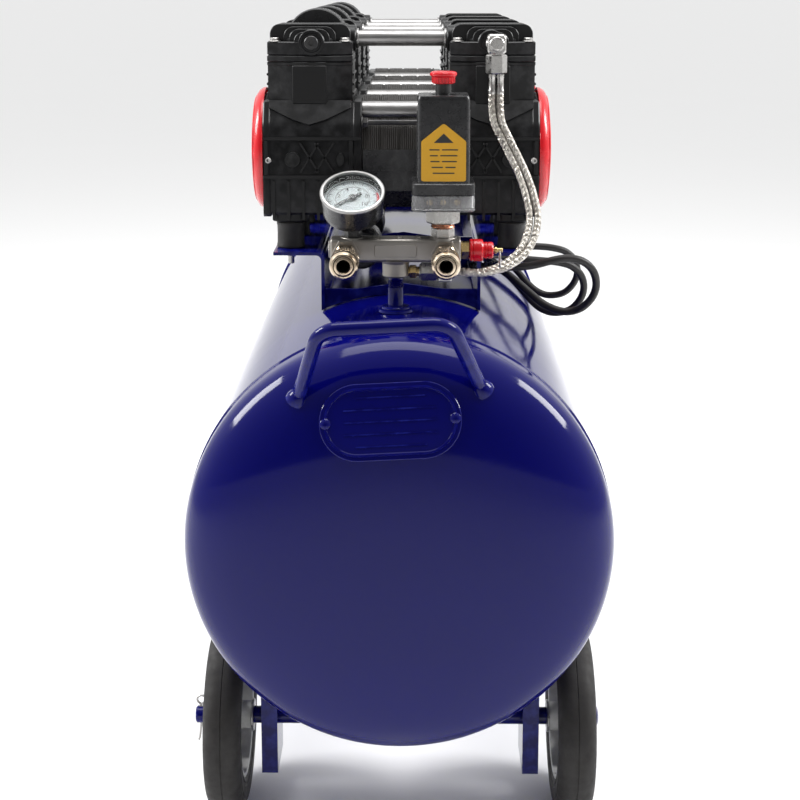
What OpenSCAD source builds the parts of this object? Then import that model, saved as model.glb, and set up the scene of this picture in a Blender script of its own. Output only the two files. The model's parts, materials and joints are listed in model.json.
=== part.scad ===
// Oil-free workshop air compressor: a horizontal tank on two wheels, with four
// twin-cylinder pump units on a pressed frame, a regulator manifold with gauge,
// pressure switch, safety valve and two quick couplers.
// Millimetres. Tank axis along Y, wheels and controls towards -Y, floor at Z = 0.

/* [Tank] */
// Outside diameter of the tank
tank_d = 370; // [320:5:450]
// Depth of each domed end
dome_h = 62; // [45:1:80]
// Steel thickness of the tank
tank_wall = 3; // [2:0.5:5]
// Height of the tank's underside above the floor
tank_clear = 113; // [106:1:150]

/* [Wheels and feet] */
// Wheel diameter
wheel_d = 174; // [140:2:200]
// Width of the tyre
tyre_w = 34; // [28:1:44]
// Gap between the tyres and the tank's flank
wheel_gap = 6.7; // [4:0.1:40]
// Diameter of the axle
axle_d = 16; // [12:1:20]
// Distance of the axle behind the front end of the shell
axle_back = 100; // [90:5:160]
// Running clearance on the radius of every turning fit
run_gap = 0.05; // [0.02:0.01:0.09]
// Distance between the rear feet
foot_track = 240; // [180:10:300]
// Distance of the rear feet ahead of the rear end of the shell
foot_ahead = 90; // [60:10:160]

/* [Handles] */
// Diameter of the handle tube
handle_d = 12; // [10:1:16]
// Width of each handle between its feet
handle_w = 154; // [130:2:180]
// Angle by which the domed ends are turned about the tank's axis
dome_turn = 3; // [0:1:5]

/* [Pump frame] */
// Height of the frame's top face above the tank's top
deck_rise = 40; // [36:1:60]
// Distance between the outer faces of the two rails' webs
rail_span = 150; // [140:2:170]
// Width of each rail's top flange
flange_w = 45; // [40:1:55]
// Thickness of the frame's sheet
sheet_t = 3; // [2:0.5:4]
// Distance of the frame behind the front end of the shell
frame_back = 160; // [150:5:220]
// Distance of the frame's rear end ahead of the rear end of the shell
frame_ahead = 100; // [60:5:180]

/* [Pump units] */
// Distance from one pump unit to the next
pump_pitch = 155; // [145:1:180]
// Diameter of the rubber mounts
mount_d = 27; // [22:1:32]
// Height of the rubber mounts
mount_h = 26; // [20:1:34]
// Width of the crankcase across the shaft
crank_w = 110; // [100:2:118]
// Height of the crankcase
crank_h = 114; // [106:2:126]
// Height of the cylinder between crankcase and head
cyl_h = 36; // [28:1:46]
// Height of the finned cylinder head
head_h = 35; // [28:1:42]
// Side of the square cylinder head
head_w = 80; // [72:1:88]
// Outside diameter of the fan covers
cover_d = 118; // [100:2:126]
// Diameter of the motor shaft
shaft_d = 12; // [10:1:16]
// Diameter of the stator's laminations
stator_d = 104; // [92:2:112]
// Diameter of the tube that joins two heads
cross_d = 15; // [12:1:20]
// Diameter of the intake filter
filter_d = 61; // [50:1:70]

/* [Regulator and fittings] */
// Distance of the manifold behind the front end of the shell
manifold_back = 90; // [80:5:120]
// Length of the manifold block
manifold_l = 116; // [104:2:130]
// Height of the manifold block
manifold_h = 21; // [18:1:26]
// Diameter of the riser pipe
riser_d = 14; // [12:1:18]
// Outside diameter of the quick couplers
coupler_d = 25; // [22:1:30]
// Radius of the coupler's socket
socket_r = 5.5; // [4:0.5:7]
// Diameter of the pressure gauge
gauge_d = 58; // [50:1:64]
// Tilt of the gauge's face from level
gauge_tilt = 33; // [0:1:60]
// Height of the pressure switch's cover
switch_h = 87; // [73:2:105]
// Width of the pressure switch's cover
switch_w = 46; // [40:1:56]
// Travel of the switch's knob
knob_travel = 8; // [4:1:10]
// Diameter of one braided air hose
hose_d = 7; // [6:0.5:9]
// Diameter of the mains cord
cord_d = 8; // [6:0.5:9]

/* [Hidden] */

SIDES = [-1, 1];
PUMPS = [0, 1, 2, 3];
tank_r = tank_d / 2;
axis_z = tank_clear + tank_r;
frame_l = pump_pitch * len(PUMPS);
shell_l = frame_back + frame_l + frame_ahead;
front_y = -shell_l / 2;
rear_y = shell_l / 2;
top_z = axis_z + tank_r;
axle_y = front_y + axle_back;
axle_z = wheel_d / 2;
// Half width of the tank at the height of the wheels' tops
flank_x = sqrt(tank_r * tank_r - pow(max(axis_z - wheel_d, 0), 2));
track = 2 * (flank_x + wheel_gap) + tyre_w;
deck_z = top_z + deck_rise;
web_x = rail_span / 2;
flange_x = web_x + flange_w;
mount_x = flange_x - mount_d / 2 - 1;
frame_y = front_y + frame_back;
first_pump_y = frame_y + pump_pitch / 2 - 8;
crank_z = deck_z + mount_h;
shaft_z = crank_z + crank_h / 2 + 8;
crank_top = crank_z + crank_h;
head_z = crank_top + cyl_h;
head_top = head_z + head_h;
crank_in = 37;
head_x = crank_in + head_w / 2 + 9;
crank_out = head_x + head_w / 2 + 4;
cylinder_d = 62;
piston_d = 48;
bore_wall = 0.3;
round_fn = 64;
small_fn = 32;

blue = [0.03, 0.04, 0.42];
black = [0.09, 0.09, 0.10];
steel = [0.72, 0.72, 0.72];
brass = [0.76, 0.62, 0.32];
red = [0.80, 0.05, 0.07];
rubber = [0.13, 0.12, 0.12];

function pump_y(k) = first_pump_y + k * pump_pitch;
function shell_z(x) = axis_z + sqrt(tank_r * tank_r - x * x);

// ---- helpers -------------------------------------------------------------

// Cylinder along X from x0, on the axis at y, z
module rod_x(x0, y, z, d, l, fn = small_fn) {
    translate([x0, y, z]) rotate([0, 90, 0]) cylinder(d = d, h = l, $fn = fn);
}

// Cylinder along Y from y0, on the axis at x, z
module rod_y(x, y0, z, d, l, fn = small_fn) {
    translate([x, y0, z]) rotate([-90, 0, 0]) cylinder(d = d, h = l, $fn = fn);
}

// Cylinder along Z
module rod_z(x, y, z, d, l, fn = small_fn) {
    translate([x, y, z]) cylinder(d = d, h = l, $fn = fn);
}

// Hexagon of a given width across flats, along +Z
module hex(af, h) {
    cylinder(d = af / cos(30), h = h, $fn = 6);
}

// Square-based block centred on X and Y, standing on Z = 0
module block(x, y, z) {
    translate([-x / 2, -y / 2, 0]) cube([x, y, z]);
}

// Rounded rectangle of exact corners
module round_rect(x, y, r) {
    union() {
        square([x - 2 * r, y], center = true);
        square([x, y - 2 * r], center = true);
        for (i = SIDES, j = SIDES)
            translate([i * (x / 2 - r), j * (y / 2 - r)]) circle(r = r, $fn = small_fn);
    }
}

function heading(a, b) = atan2(b[1] - a[1], b[0] - a[0]);
function turn_of(a, b, c) =
    let (t = heading(b, c) - heading(a, b)) t > 180 ? t - 360 : t < -180 ? t + 360 : t;
function cut_back(a, b, c, rb) = rb * tan(abs(turn_of(a, b, c)) / 2);

// Points of one bend of radius rb between three corners of a flat path
function bend(a, b, c, rb, steps = 6) =
    let (
        ang = heading(a, b), turn = turn_of(a, b, c), side = sign(turn),
        centre = b - cut_back(a, b, c, rb) * [cos(ang), sin(ang)]
            + side * rb * [-sin(ang), cos(ang)]
    )
    [for (i = [0 : steps])
        let (t = ang - side * 90 + turn * i / steps) centre + rb * [cos(t), sin(t)]];

// Flat path with its inner corners rounded to radius rb
function rounded_path(pts, rb) =
    concat([pts[0]],
        [for (i = [1 : len(pts) - 2], q = bend(pts[i - 1], pts[i], pts[i + 1], rb)) q],
        [pts[len(pts) - 1]]);

// Round tube bent in the XY plane along pts, with bends of radius rb
module bent_tube(pts, d, rb) {
    swept_tube([for (q = rounded_path(pts, rb)) [q[0], q[1], 0]], d, 16);
}

function unit(v) = v / norm(v);
function spline(a, b, c, d, t) =
    0.5 * (2 * b + (c - a) * t + (2 * a - 5 * b + 4 * c - d) * t * t
        + (3 * b - a - 3 * c + d) * t * t * t);
// Smooth route through hand-chosen points, steps rings to each span
function smooth_route(p, steps) =
    let (n = len(p) - 1)
    concat([for (i = [0 : n - 1], j = [0 : steps - 1])
        spline(p[max(i - 1, 0)], p[i], p[i + 1], p[min(i + 2, n)], j / steps)], [p[n]]);
function route_dir(p, i) =
    i == 0 ? unit(p[1] - p[0]) : i == len(p) - 1 ? unit(p[i] - p[i - 1])
    : unit(unit(p[i + 1] - p[i]) + unit(p[i] - p[i - 1]));
// Normals carried along the route without twist
function route_normals(p, i = 0, so_far = []) =
    i == len(p) ? so_far :
    let (
        t = route_dir(p, i),
        seed = i == 0 ? (abs(t[2]) < 0.8 ? [0, 0, 1] : [0, 1, 0]) : so_far[i - 1],
        n = unit(seed - (seed * t) * t)
    )
    route_normals(p, i + 1, concat(so_far, [n]));

// Flexible tube of diameter d swept along the points p as one polyhedron
module swept_tube(p, d, sides = 8) {
    normals = route_normals(p);
    rings = len(p);
    points = [for (i = [0 : rings - 1], s = [0 : sides - 1])
        let (t = route_dir(p, i), n = normals[i], b = cross(t, n), a = 360 * s / sides)
        p[i] + d / 2 * (cos(a) * n + sin(a) * b)];
    walls = [for (i = [0 : rings - 2], s = [0 : sides - 1])
        let (a = i * sides + s, b = i * sides + (s + 1) % sides)
        [a, a + sides, b + sides, b]];
    caps = [[for (s = [0 : sides - 1]) s],
        [for (s = [sides - 1 : -1 : 0]) (rings - 1) * sides + s]];
    polyhedron(points, concat(walls, caps), convexity = 6);
}

// ---- tank ----------------------------------------------------------------

dome_steps = 10;
dome_power = 2.5;
function dome_curve(r, h, grow) =
    [for (i = [0 : dome_steps])
        let (a = 90 * i / dome_steps)
        [r * pow(cos(a), 2 / dome_power), grow + h * pow(sin(a), 2 / dome_power)]];
// Distance of the domed end's skin beyond the shell at radius r
function dome_at(r) = dome_h * pow(1 - pow(r / tank_r, dome_power), 1 / dome_power);
function flip(p) = [for (i = [len(p) - 1 : -1 : 0]) [p[i][0], -p[i][1]]];

module tank_body(r, h) {
    half = dome_curve(r, h, shell_l / 2);
    translate([0, 0, axis_z]) rotate([90, 0, 0])
        rotate_extrude($fn = 96) polygon(concat(flip(half), half));
}

riser_x = -4;
manifold_y = front_y + manifold_back;
riser_y = manifold_y;
drain_d = 13;
bung_d = 26;

module tank_shell() {
    color(blue) difference() {
        union() {
            tank_body(tank_r, dome_h);
            rod_z(riser_x, riser_y, top_z - 8, bung_d, 12);
            rod_z(0, 0, axis_z - tank_r - 5, bung_d, 12);
        }
        tank_body(tank_r - tank_wall, dome_h - tank_wall);
        rod_z(riser_x, riser_y, top_z - 10, riser_d, 16);
        rod_z(0, 0, axis_z - tank_r - 6, drain_d, 16);
    }
}

handle_top_w = 104;
handle_rise = 86;
handle_lean = 35;
handle_foot_z = tank_r - 42;
handle_sink = 6;

module handle() {
    foot_r = norm([handle_w / 2, handle_foot_z]);
    bend_r = 20;
    translate([0, -(shell_l / 2 + dome_at(foot_r)) + handle_sink, handle_foot_z - handle_sink])
        rotate([handle_lean, 0, 0]) rotate([90, 0, 0])
            bent_tube([[-handle_w / 2, 0], [-handle_top_w / 2, handle_rise],
                [handle_top_w / 2, handle_rise], [handle_w / 2, 0]], handle_d, bend_r);
}

module on_front_dome() {
    translate([0, 0, axis_z]) rotate([0, -dome_turn, 0]) children();
}

module front_handle() {
    color(blue) difference() {
        on_front_dome() handle();
        tank_body(tank_r, dome_h);
    }
}

module rear_handle() {
    color(blue) difference() {
        translate([0, 0, axis_z]) rotate([0, 0, 180]) handle();
        tank_body(tank_r, dome_h);
    }
}

plate_w = 122;
plate_h = 70;
plate_t = 2;
plate_r = 34;
plate_z = tank_r - 61;
plate_lean = 22;

// Frame of the nameplate: its back face on Z = 0, clear of the dome's crown
module at_nameplate() {
    on_front_dome() translate([0, -(shell_l / 2 + dome_at(plate_z) + 7), plate_z])
        rotate([90 - plate_lean, 0, 0]) children();
}

module nameplate() {
    color(blue) at_nameplate() linear_extrude(plate_t) round_rect(plate_w, plate_h, plate_r);
}

module nameplate_studs() {
    color(blue) difference() {
        at_nameplate() for (i = SIDES) translate([i * (plate_w / 2 - 8), 0, -20])
            cylinder(d = 5, h = 20, $fn = small_fn);
        tank_body(tank_r, dome_h);
    }
}

// ---- wheels and feet -------------------------------------------------------

bracket_x = track / 2 - tyre_w / 2 - 22;
bracket_w = 15;
bracket_l = 56;
bracket_low = 42;
bracket_t = 4;
axle_out = 16;
axle_head = 6;
pin_in = 5;

// Channel-shaped leg on each side that carries the axle
module axle_brackets() {
    color(blue) for (i = SIDES) difference() {
        translate([i * bracket_x, axle_y, bracket_low])
            block(bracket_w, bracket_l, axis_z - bracket_low);
        translate([i * bracket_x, axle_y + bracket_t, bracket_low - 1])
            block(bracket_w - 2 * bracket_t, bracket_l, axis_z);
        tank_body(tank_r, dome_h);
        rod_x(i * bracket_x - bracket_w, axle_y, axle_z, axle_d, 2 * bracket_w);
    }
}

hub_w = tyre_w + 6;
washer_t = 2;
washer_gap = 0.3;
axle_half = track / 2 + tyre_w / 2 + axle_out;
axle_head_x = track / 2 + hub_w / 2 + washer_gap;

module axle() {
    color(blue) difference() {
        union() {
            rod_x(-axle_half, axle_y, axle_z, axle_d, axle_half + axle_head_x);
            rod_x(axle_head_x, axle_y, axle_z, axle_d + 6, axle_head);
        }
        rod_z(-axle_half + pin_in, axle_y, axle_z - axle_d, pin_d + 0.2, 2 * axle_d);
    }
}

pin_d = 3;
pin_wire = 2;
pin_low = axle_d / 2 + 18;
pin_high = axle_d / 2 + 4;
eye_r = 4;

// Bent-wire split pin through the axle's free end, with its eye on top
module split_pin() {
    color(steel) translate([-axle_half + pin_in, axle_y, axle_z]) {
        rod_z(0, 0, -pin_low, pin_d, pin_low + pin_high, 16);
        translate([0, 0, pin_high + eye_r - 1]) rotate([90, 0, 0])
            rotate_extrude($fn = small_fn) translate([eye_r, 0]) circle(d = pin_wire, $fn = 16);
    }
}

module ring_x(x0, y, z, d_out, d_in, l) {
    difference() {
        rod_x(x0, y, z, d_out, l, round_fn);
        rod_x(x0 - 1, y, z, d_in, l + 2);
    }
}

module axle_washers() {
    out = track / 2 + hub_w / 2 + washer_gap;
    inn = track / 2 - hub_w / 2 - washer_gap - washer_t;
    color(steel) {
        for (x = [-out - washer_t, -inn - washer_t, inn])
            ring_x(x, axle_y, axle_z, axle_d + 14, axle_d, washer_t);
    }
}

hub_d = wheel_d - 62;
tyre_grip = 2;

// Pressed disc wheel: rim, web and a tubular boss running on the axle
module wheel_hub(side) {
    bore = axle_d + 2 * run_gap;
    cx = side * track / 2;
    color([0.82, 0.82, 0.80]) difference() {
        union() {
            rod_x(cx - hub_w / 2, axle_y, axle_z, axle_d + 16, hub_w, round_fn);
            rod_x(cx - 3, axle_y, axle_z, hub_d - 6, 6, round_fn);
            difference() {
                rod_x(cx - tyre_w / 2 + 2, axle_y, axle_z, hub_d, tyre_w - 4, round_fn);
                rod_x(cx - tyre_w, axle_y, axle_z, hub_d - 8, 2 * tyre_w, round_fn);
            }
        }
        rod_x(cx - hub_w, axle_y, axle_z, bore, 2 * hub_w);
    }
}

module tyre(side) {
    half = tyre_w / 2;
    outer = wheel_d / 2;
    inner = hub_d / 2;
    shoulder = 6;
    color(rubber) translate([side * track / 2, axle_y, axle_z]) rotate([0, 90, 0])
        rotate_extrude($fn = 96) polygon([
            [inner, -half + tyre_grip], [inner + 8, -half], [outer - shoulder, -half + 1],
            [outer - 1, -half + shoulder], [outer, -half + 9], [outer, half - 9],
            [outer - 1, half - shoulder], [outer - shoulder, half - 1], [inner + 8, half],
            [inner, half - tyre_grip]]);
}

foot_y = rear_y - foot_ahead;
foot_h = 14;
foot_d = 40;
leg_w = 36;

// Rear legs: one folded strap on each side, welded under the shell
module rear_legs() {
    color(blue) for (i = SIDES) difference() {
        union() {
            translate([i * foot_track / 2, foot_y, foot_h]) block(leg_w + 8, 50, sheet_t);
            translate([i * (foot_track / 2 - leg_w / 2 + 2), foot_y, foot_h])
                block(4, 50, axis_z - foot_h);
        }
        tank_body(tank_r, dome_h);
        rod_z(i * foot_track / 2 + i * 4, foot_y, foot_h - 1, 8, 6);
    }
}

module rubber_feet() {
    color(rubber) for (i = SIDES) translate([i * (foot_track / 2 + 4), foot_y, 0]) {
        cylinder(d = foot_d - 8, h = foot_h, $fn = round_fn);
        rod_z(0, 0, foot_h, 8, sheet_t);
        rod_z(0, 0, foot_h + sheet_t, 14, 4);
    }
}

drain_z = axis_z - tank_r - 5;
cock_d = 6;
cock_drop = 8;
spindle_l = 15;
spindle_out = 18;
wing_l = 20;

// Drain cock: a brass body screwed into the bung, bored for its spindle
module drain_valve() {
    color(brass) difference() {
        union() {
            rod_z(0, 0, drain_z, drain_d, 16);
            translate([0, 0, drain_z - 2 * cock_drop]) hex(17, 2 * cock_drop);
            rod_y(0, 0, drain_z - cock_drop, 10, 18);
        }
        rod_z(0, 0, drain_z - 2 * cock_drop - 1, 6, 40);
        rod_y(0, -20, drain_z - cock_drop, cock_d, 20);
    }
}

// Spindle and wing of the drain cock
module drain_knob() {
    color(brass) {
        rod_y(0, -spindle_out, drain_z - cock_drop, cock_d - 2 * run_gap, spindle_l);
        rod_x(-wing_l / 2, -spindle_out - 3, drain_z - cock_drop, 6, wing_l);
    }
}

// ---- pump frame ------------------------------------------------------------

rail_low = shell_z(web_x) - 6;
bend_out = 8;

function arc(centre, r, from, to, steps = 8) =
    [for (i = [0 : steps])
        let (t = from + (to - from) * i / steps) centre + r * [cos(t), sin(t)]];

// Folded rail: a web standing on the tank and a flange turned outwards
module rail_profile() {
    fold = [web_x - sheet_t + bend_out, deck_z - bend_out];
    polygon(concat([[web_x, rail_low]], arc(fold, bend_out - sheet_t, 180, 90),
        [[flange_x, deck_z - sheet_t], [flange_x, deck_z]], arc(fold, bend_out, 90, 180),
        [[web_x - sheet_t, rail_low]]));
}

module mount_places() {
    for (k = PUMPS, j = SIDES) translate([0, pump_y(k) + j * mount_pitch / 2, 0]) children();
}

mount_pitch = crank_w - 34;
stud_d = 6;
gland_y = frame_y + 90;
gland_z = deck_z - 30;

module frame_rails() {
    color(blue) for (i = SIDES) difference() {
        scale_x(i) translate([0, frame_y + frame_l, 0]) rotate([90, 0, 0])
            linear_extrude(frame_l) rail_profile();
        tank_body(tank_r, dome_h);
        mount_places() rod_z(i * mount_x, 0, deck_z - 2 * sheet_t, stud_d + 1, 4 * sheet_t);
        if (i > 0) rod_x(web_x - 2 * sheet_t, gland_y, gland_z, 12, 4 * sheet_t);
    }
}

// Mirror image in X for the left side
module scale_x(side) {
    if (side > 0) children();
    else mirror([1, 0, 0]) children();
}

saddle_t = 4;
saddle_drop = 26;

// Cross plates between the rails, cut to the tank's curve
module frame_saddles() {
    inner = web_x - sheet_t;
    color(blue) for (y = [frame_y + 4, frame_y + frame_l / 2, frame_y + frame_l - saddle_t - 4])
        difference() {
            translate([0, y + saddle_t, 0]) rotate([90, 0, 0]) linear_extrude(saddle_t)
                polygon([[-inner, rail_low], [-inner, rail_low + saddle_drop],
                    [-inner + 30, rail_low + saddle_drop], [0, top_z + 10],
                    [inner - 30, rail_low + saddle_drop], [inner, rail_low + saddle_drop],
                    [inner, rail_low]]);
            tank_body(tank_r, dome_h);
        }
}

module rubber_mounts() {
    color(rubber) for (i = SIDES) mount_places() difference() {
        rod_z(i * mount_x, 0, deck_z, mount_d, mount_h, round_fn);
        rod_z(i * mount_x, 0, deck_z - 1, stud_d, mount_h + 2);
    }
}

nut_af = 10;
nut_t = 5;
stud_low = 16;
foot_plate_t = 6;

module mount_fasteners() {
    color(steel) for (i = SIDES) mount_places() translate([i * mount_x, 0, 0]) {
        rod_z(0, 0, deck_z - stud_low, stud_d, mount_h + stud_low + foot_plate_t + 9);
        translate([0, 0, deck_z - sheet_t - nut_t]) hex(nut_af, nut_t);
        translate([0, 0, crank_z + foot_plate_t]) hex(nut_af, nut_t);
    }
}

// ---- riser, manifold and fittings -----------------------------------------------

boss_h = 14;
boss_d = 24;
manifold_w = 24;
manifold_x = riser_x;
manifold_z = top_z + deck_rise + 5;
manifold_top = manifold_z + manifold_h;
boss_z = manifold_z - boss_h;
coupler_x = (manifold_l - 28) / 2;
gauge_x = manifold_x - coupler_x + 6;
switch_x = manifold_x + coupler_x - 2;
port_r = 6;
duct_r = 4;

module riser_pipe() {
    color(blue) difference() {
        rod_z(riser_x, riser_y, top_z - 8, riser_d, boss_z - top_z + 8);
        rod_z(riser_x, riser_y, top_z - 9, riser_d - 5, boss_z - top_z + 10);
    }
}

module manifold_block() {
    color([0.55, 0.55, 0.52]) difference() {
        union() {
            translate([manifold_x, manifold_y, manifold_z]) block(manifold_l, manifold_w, manifold_h);
            rod_z(riser_x, riser_y, boss_z, boss_d, boss_h);
        }
        rod_x(manifold_x - manifold_l / 2 + 8, manifold_y, manifold_z + manifold_h / 2,
            2 * duct_r, manifold_l);
        rod_z(riser_x, riser_y, boss_z - 1, 2 * duct_r, boss_h + manifold_h / 2);
        for (i = SIDES) rod_y(manifold_x + i * coupler_x, manifold_y - manifold_w,
            manifold_z + manifold_h / 2, 2 * port_r, manifold_w);
        rod_z(gauge_x, manifold_y, manifold_z + manifold_h / 2, 2 * duct_r, manifold_h);
        rod_z(switch_x, manifold_y, manifold_z + manifold_h / 2, 2 * duct_r, manifold_h);
    }
}

fitting_z = boss_z + 4;
inlet_nut_x = riser_x + boss_d / 2 + 10;

// Brass nipple, hex nut and twin hose block at the manifold's inlet
module manifold_fittings() {
    difference() {
        union() {
            color(brass) rod_x(riser_x + boss_d / 2 - 1, manifold_y, fitting_z, 9, 12);
            color(steel) translate([inlet_nut_x, manifold_y, fitting_z]) rotate([0, 90, 0]) hex(15, 16);
            color(steel) translate([inlet_nut_x + 22, manifold_y, fitting_z - 8])
                block(12, 20, 16);
        }
        rod_x(riser_x, manifold_y, fitting_z, 5, 38);
        rod_z(riser_x, riser_y, boss_z - 1, boss_d, boss_h + 4);
    }
}

coupler_l = 52;
sleeve_l = 24;
coupler_y = manifold_y - manifold_w / 2;
coupler_z = manifold_z + manifold_h / 2 - 5;
nose_d = coupler_d - 8;

module coupler_body(i) {
    translate([manifold_x + i * coupler_x, coupler_y, coupler_z]) rotate([90, 0, 0]) difference() {
        union() {
            hex(21, 12);
            cylinder(d = nose_d, h = coupler_l - 2, $fn = round_fn);
            translate([0, 0, 12]) cylinder(d = nose_d + 3, h = 5, $fn = round_fn);
            translate([0, 0, coupler_l - 6]) cylinder(d = nose_d, h = 6, $fn = round_fn);
        }
        translate([0, 0, 14]) cylinder(r = socket_r, h = coupler_l, $fn = round_fn);
        translate([0, 0, -1]) cylinder(r = duct_r, h = coupler_l, $fn = small_fn);
    }
}

module coupler_bodies() {
    color(brass) for (i = SIDES) coupler_body(i);
}

sleeve_from = 22;

// Knurled locking sleeve that slides back over the coupler's body
module coupler_sleeve(i) {
    color([0.80, 0.76, 0.66]) translate([manifold_x + i * coupler_x, coupler_y, coupler_z])
        rotate([90, 0, 0]) translate([0, 0, sleeve_from]) difference() {
            union() {
                cylinder(d = coupler_d, h = sleeve_l, $fn = round_fn);
                translate([0, 0, sleeve_l]) cylinder(d1 = coupler_d, d2 = coupler_d - 4, h = 3,
                    $fn = round_fn);
            }
            translate([0, 0, -1]) cylinder(d = nose_d + 2 * run_gap, h = sleeve_l + 6,
                $fn = round_fn);
        }
}

// ---- pressure gauge ------------------------------------------------------------

gauge_r = gauge_d / 2;
gauge_depth = 22;
gauge_clear = 15;
gauge_z = manifold_top + gauge_clear + gauge_r * cos(gauge_tilt);
gauge_stem = gauge_z - manifold_top - 16;
bezel_t = 5;
dial_sink = 5;

module at_gauge() {
    translate([gauge_x, manifold_y - 6, gauge_z]) rotate([gauge_tilt, 0, 0]) children();
}

module gauge_case() {
    color(black) {
        difference() {
            union() {
                at_gauge() translate([0, 0, -gauge_depth]) {
                    translate([0, 0, 8]) cylinder(r = gauge_r - 2, h = gauge_depth - 8,
                        $fn = round_fn);
                    cylinder(r1 = gauge_r - 10, r2 = gauge_r - 2, h = 8, $fn = round_fn);
                }
                rod_z(gauge_x, manifold_y, manifold_top, 12, gauge_stem);
                translate([gauge_x, manifold_y, manifold_top]) hex(14, 8);
            }
            at_gauge() translate([0, 0, -12]) cylinder(r = gauge_r - 4, h = 30, $fn = round_fn);
        }
    }
}

module gauge_bezel() {
    color(black) at_gauge() difference() {
        translate([0, 0, -1]) cylinder(r = gauge_r, h = bezel_t, $fn = round_fn);
        translate([0, 0, -3]) cylinder(r = gauge_r - 3.5, h = bezel_t + 4, $fn = round_fn);
        translate([0, 0, -2]) cylinder(r = gauge_r - 2, h = 2, $fn = round_fn);
    }
}

pivot_d = 2;

module gauge_dial() {
    color([0.95, 0.95, 0.93]) at_gauge() translate([0, 0, -dial_sink]) difference() {
        cylinder(r = gauge_r - 4, h = 1, $fn = round_fn);
        translate([0, 0, -1]) cylinder(d = pivot_d + 2 * run_gap, h = 4, $fn = small_fn);
    }
}

needle_rest = 215;

// Needle, boss and pivot pin as one stamping
module gauge_needle() {
    color(black) at_gauge() {
        translate([0, 0, -dial_sink - 3]) cylinder(d = pivot_d, h = 6, $fn = small_fn);
        translate([0, 0, -dial_sink + 1.6]) {
            cylinder(d = 7, h = 1.4, $fn = small_fn);
            rotate([0, 0, needle_rest]) linear_extrude(0.8)
                polygon([[-9, -1.4], [0, -1.6], [gauge_r - 9, -0.4], [gauge_r - 9, 0.4],
                    [0, 1.6], [-9, 1.4]]);
        }
    }
}

module gauge_glass() {
    color([0.8, 0.9, 0.95]) at_gauge() translate([0, 0, 1.2])
        cylinder(r = gauge_r - 3.5, h = 1.6, $fn = round_fn);
}

// ---- pressure switch -------------------------------------------------------------

adaptor_h = 26;
skirt_h = 14;
switch_base_z = manifold_top + adaptor_h;
cover_z = switch_base_z + skirt_h;
switch_d = 56;
cover_wall = 2;
lip_h = 11;
switch_y = manifold_y + 4;

module switch_adaptor() {
    color(steel) difference() {
        union() {
            translate([switch_x, manifold_y, manifold_top]) hex(18, 10);
            rod_z(switch_x, manifold_y, manifold_top + 10, 14, 3);
            translate([switch_x, manifold_y, manifold_top + 13]) hex(26, adaptor_h - 13);
        }
        rod_z(switch_x, manifold_y, manifold_top - 1, 6, adaptor_h + 2);
    }
    color([0.72, 0.42, 0.25]) for (z = [manifold_top + 10.5])
        ring_z(switch_x, manifold_y, z, 20, 14, 1.5);
}

module ring_z(x, y, z, d_out, d_in, l) {
    difference() {
        rod_z(x, y, z, d_out, l);
        rod_z(x, y, z - 1, d_in, l + 2);
    }
}

module switch_base() {
    color([0.45, 0.45, 0.46]) difference() {
        translate([switch_x, switch_y, switch_base_z]) block(switch_w + 10, switch_d, skirt_h);
        translate([switch_x, switch_y, switch_base_z + 4])
            block(switch_w + 6, switch_d - 4, skirt_h);
        rod_z(switch_x, manifold_y, switch_base_z - 1, 6, 8);
    }
    color([0.30, 0.30, 0.31]) translate([switch_x, switch_y, switch_base_z + 4])
        block(switch_w - 14, switch_d - 18, 34);
}

module switch_cover() {
    top = cover_z + switch_h;
    color(black) difference() {
        union() {
            translate([switch_x, switch_y, cover_z]) linear_extrude(switch_h)
                round_rect(switch_w, switch_d - 4, 4);
            translate([switch_x, switch_y, cover_z]) linear_extrude(lip_h)
                round_rect(switch_w + 9, switch_d, 4);
        }
        translate([switch_x, switch_y, cover_z - 1]) linear_extrude(switch_h - cover_wall + 1)
            round_rect(switch_w - 2 * cover_wall, switch_d - 4 - 2 * cover_wall, 2.5);
        rod_z(switch_x, switch_y, top - 10, 14 + 2 * run_gap, 20);
    }
}

label_w = 39;
label_h = 50;

// Blank safety-yellow pentagon on the cover's front
module switch_label() {
    front = switch_y - (switch_d - 4) / 2;
    color([0.92, 0.68, 0.05]) translate([switch_x, front, cover_z + lip_h + 2]) rotate([90, 0, 0])
        linear_extrude(0.6) polygon([[-label_w / 2, 0], [label_w / 2, 0],
            [label_w / 2, label_h - 15], [0, label_h], [-label_w / 2, label_h - 15]]);
}

knob_rise = knob_travel + 1;

// Stem and red knob that is pulled up to start and pressed to stop
module switch_knob() {
    top = cover_z + switch_h;
    color(red) translate([switch_x, switch_y, top]) {
        translate([0, 0, -16]) cylinder(d = 14, h = 16 + knob_rise, $fn = small_fn);
        translate([0, 0, knob_rise]) cylinder(d = 20, h = 10, $fn = round_fn);
        translate([0, 0, knob_rise + 7]) cylinder(d = 24, h = 4, $fn = round_fn);
    }
}

// ---- safety valve ------------------------------------------------------------------

valve_x = manifold_x + manifold_l / 2;
valve_z = manifold_z + manifold_h / 2 - 1;
stem_d = 4;
valve_body_l = 8;
valve_cap_l = 21;

module safety_valve_body() {
    difference() {
        union() {
            color(brass) translate([valve_x, manifold_y, valve_z]) rotate([0, 90, 0])
                hex(15, valve_body_l);
            color(red) rod_x(valve_x + valve_body_l, manifold_y, valve_z, 20, 12);
            color(red) rod_x(valve_x + valve_body_l + 12, manifold_y, valve_z, 15, valve_cap_l - 12);
        }
        rod_x(valve_x - 1, manifold_y, valve_z, stem_d + 2 * run_gap, valve_body_l + valve_cap_l + 2);
    }
}

stem_out = 9;

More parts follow.
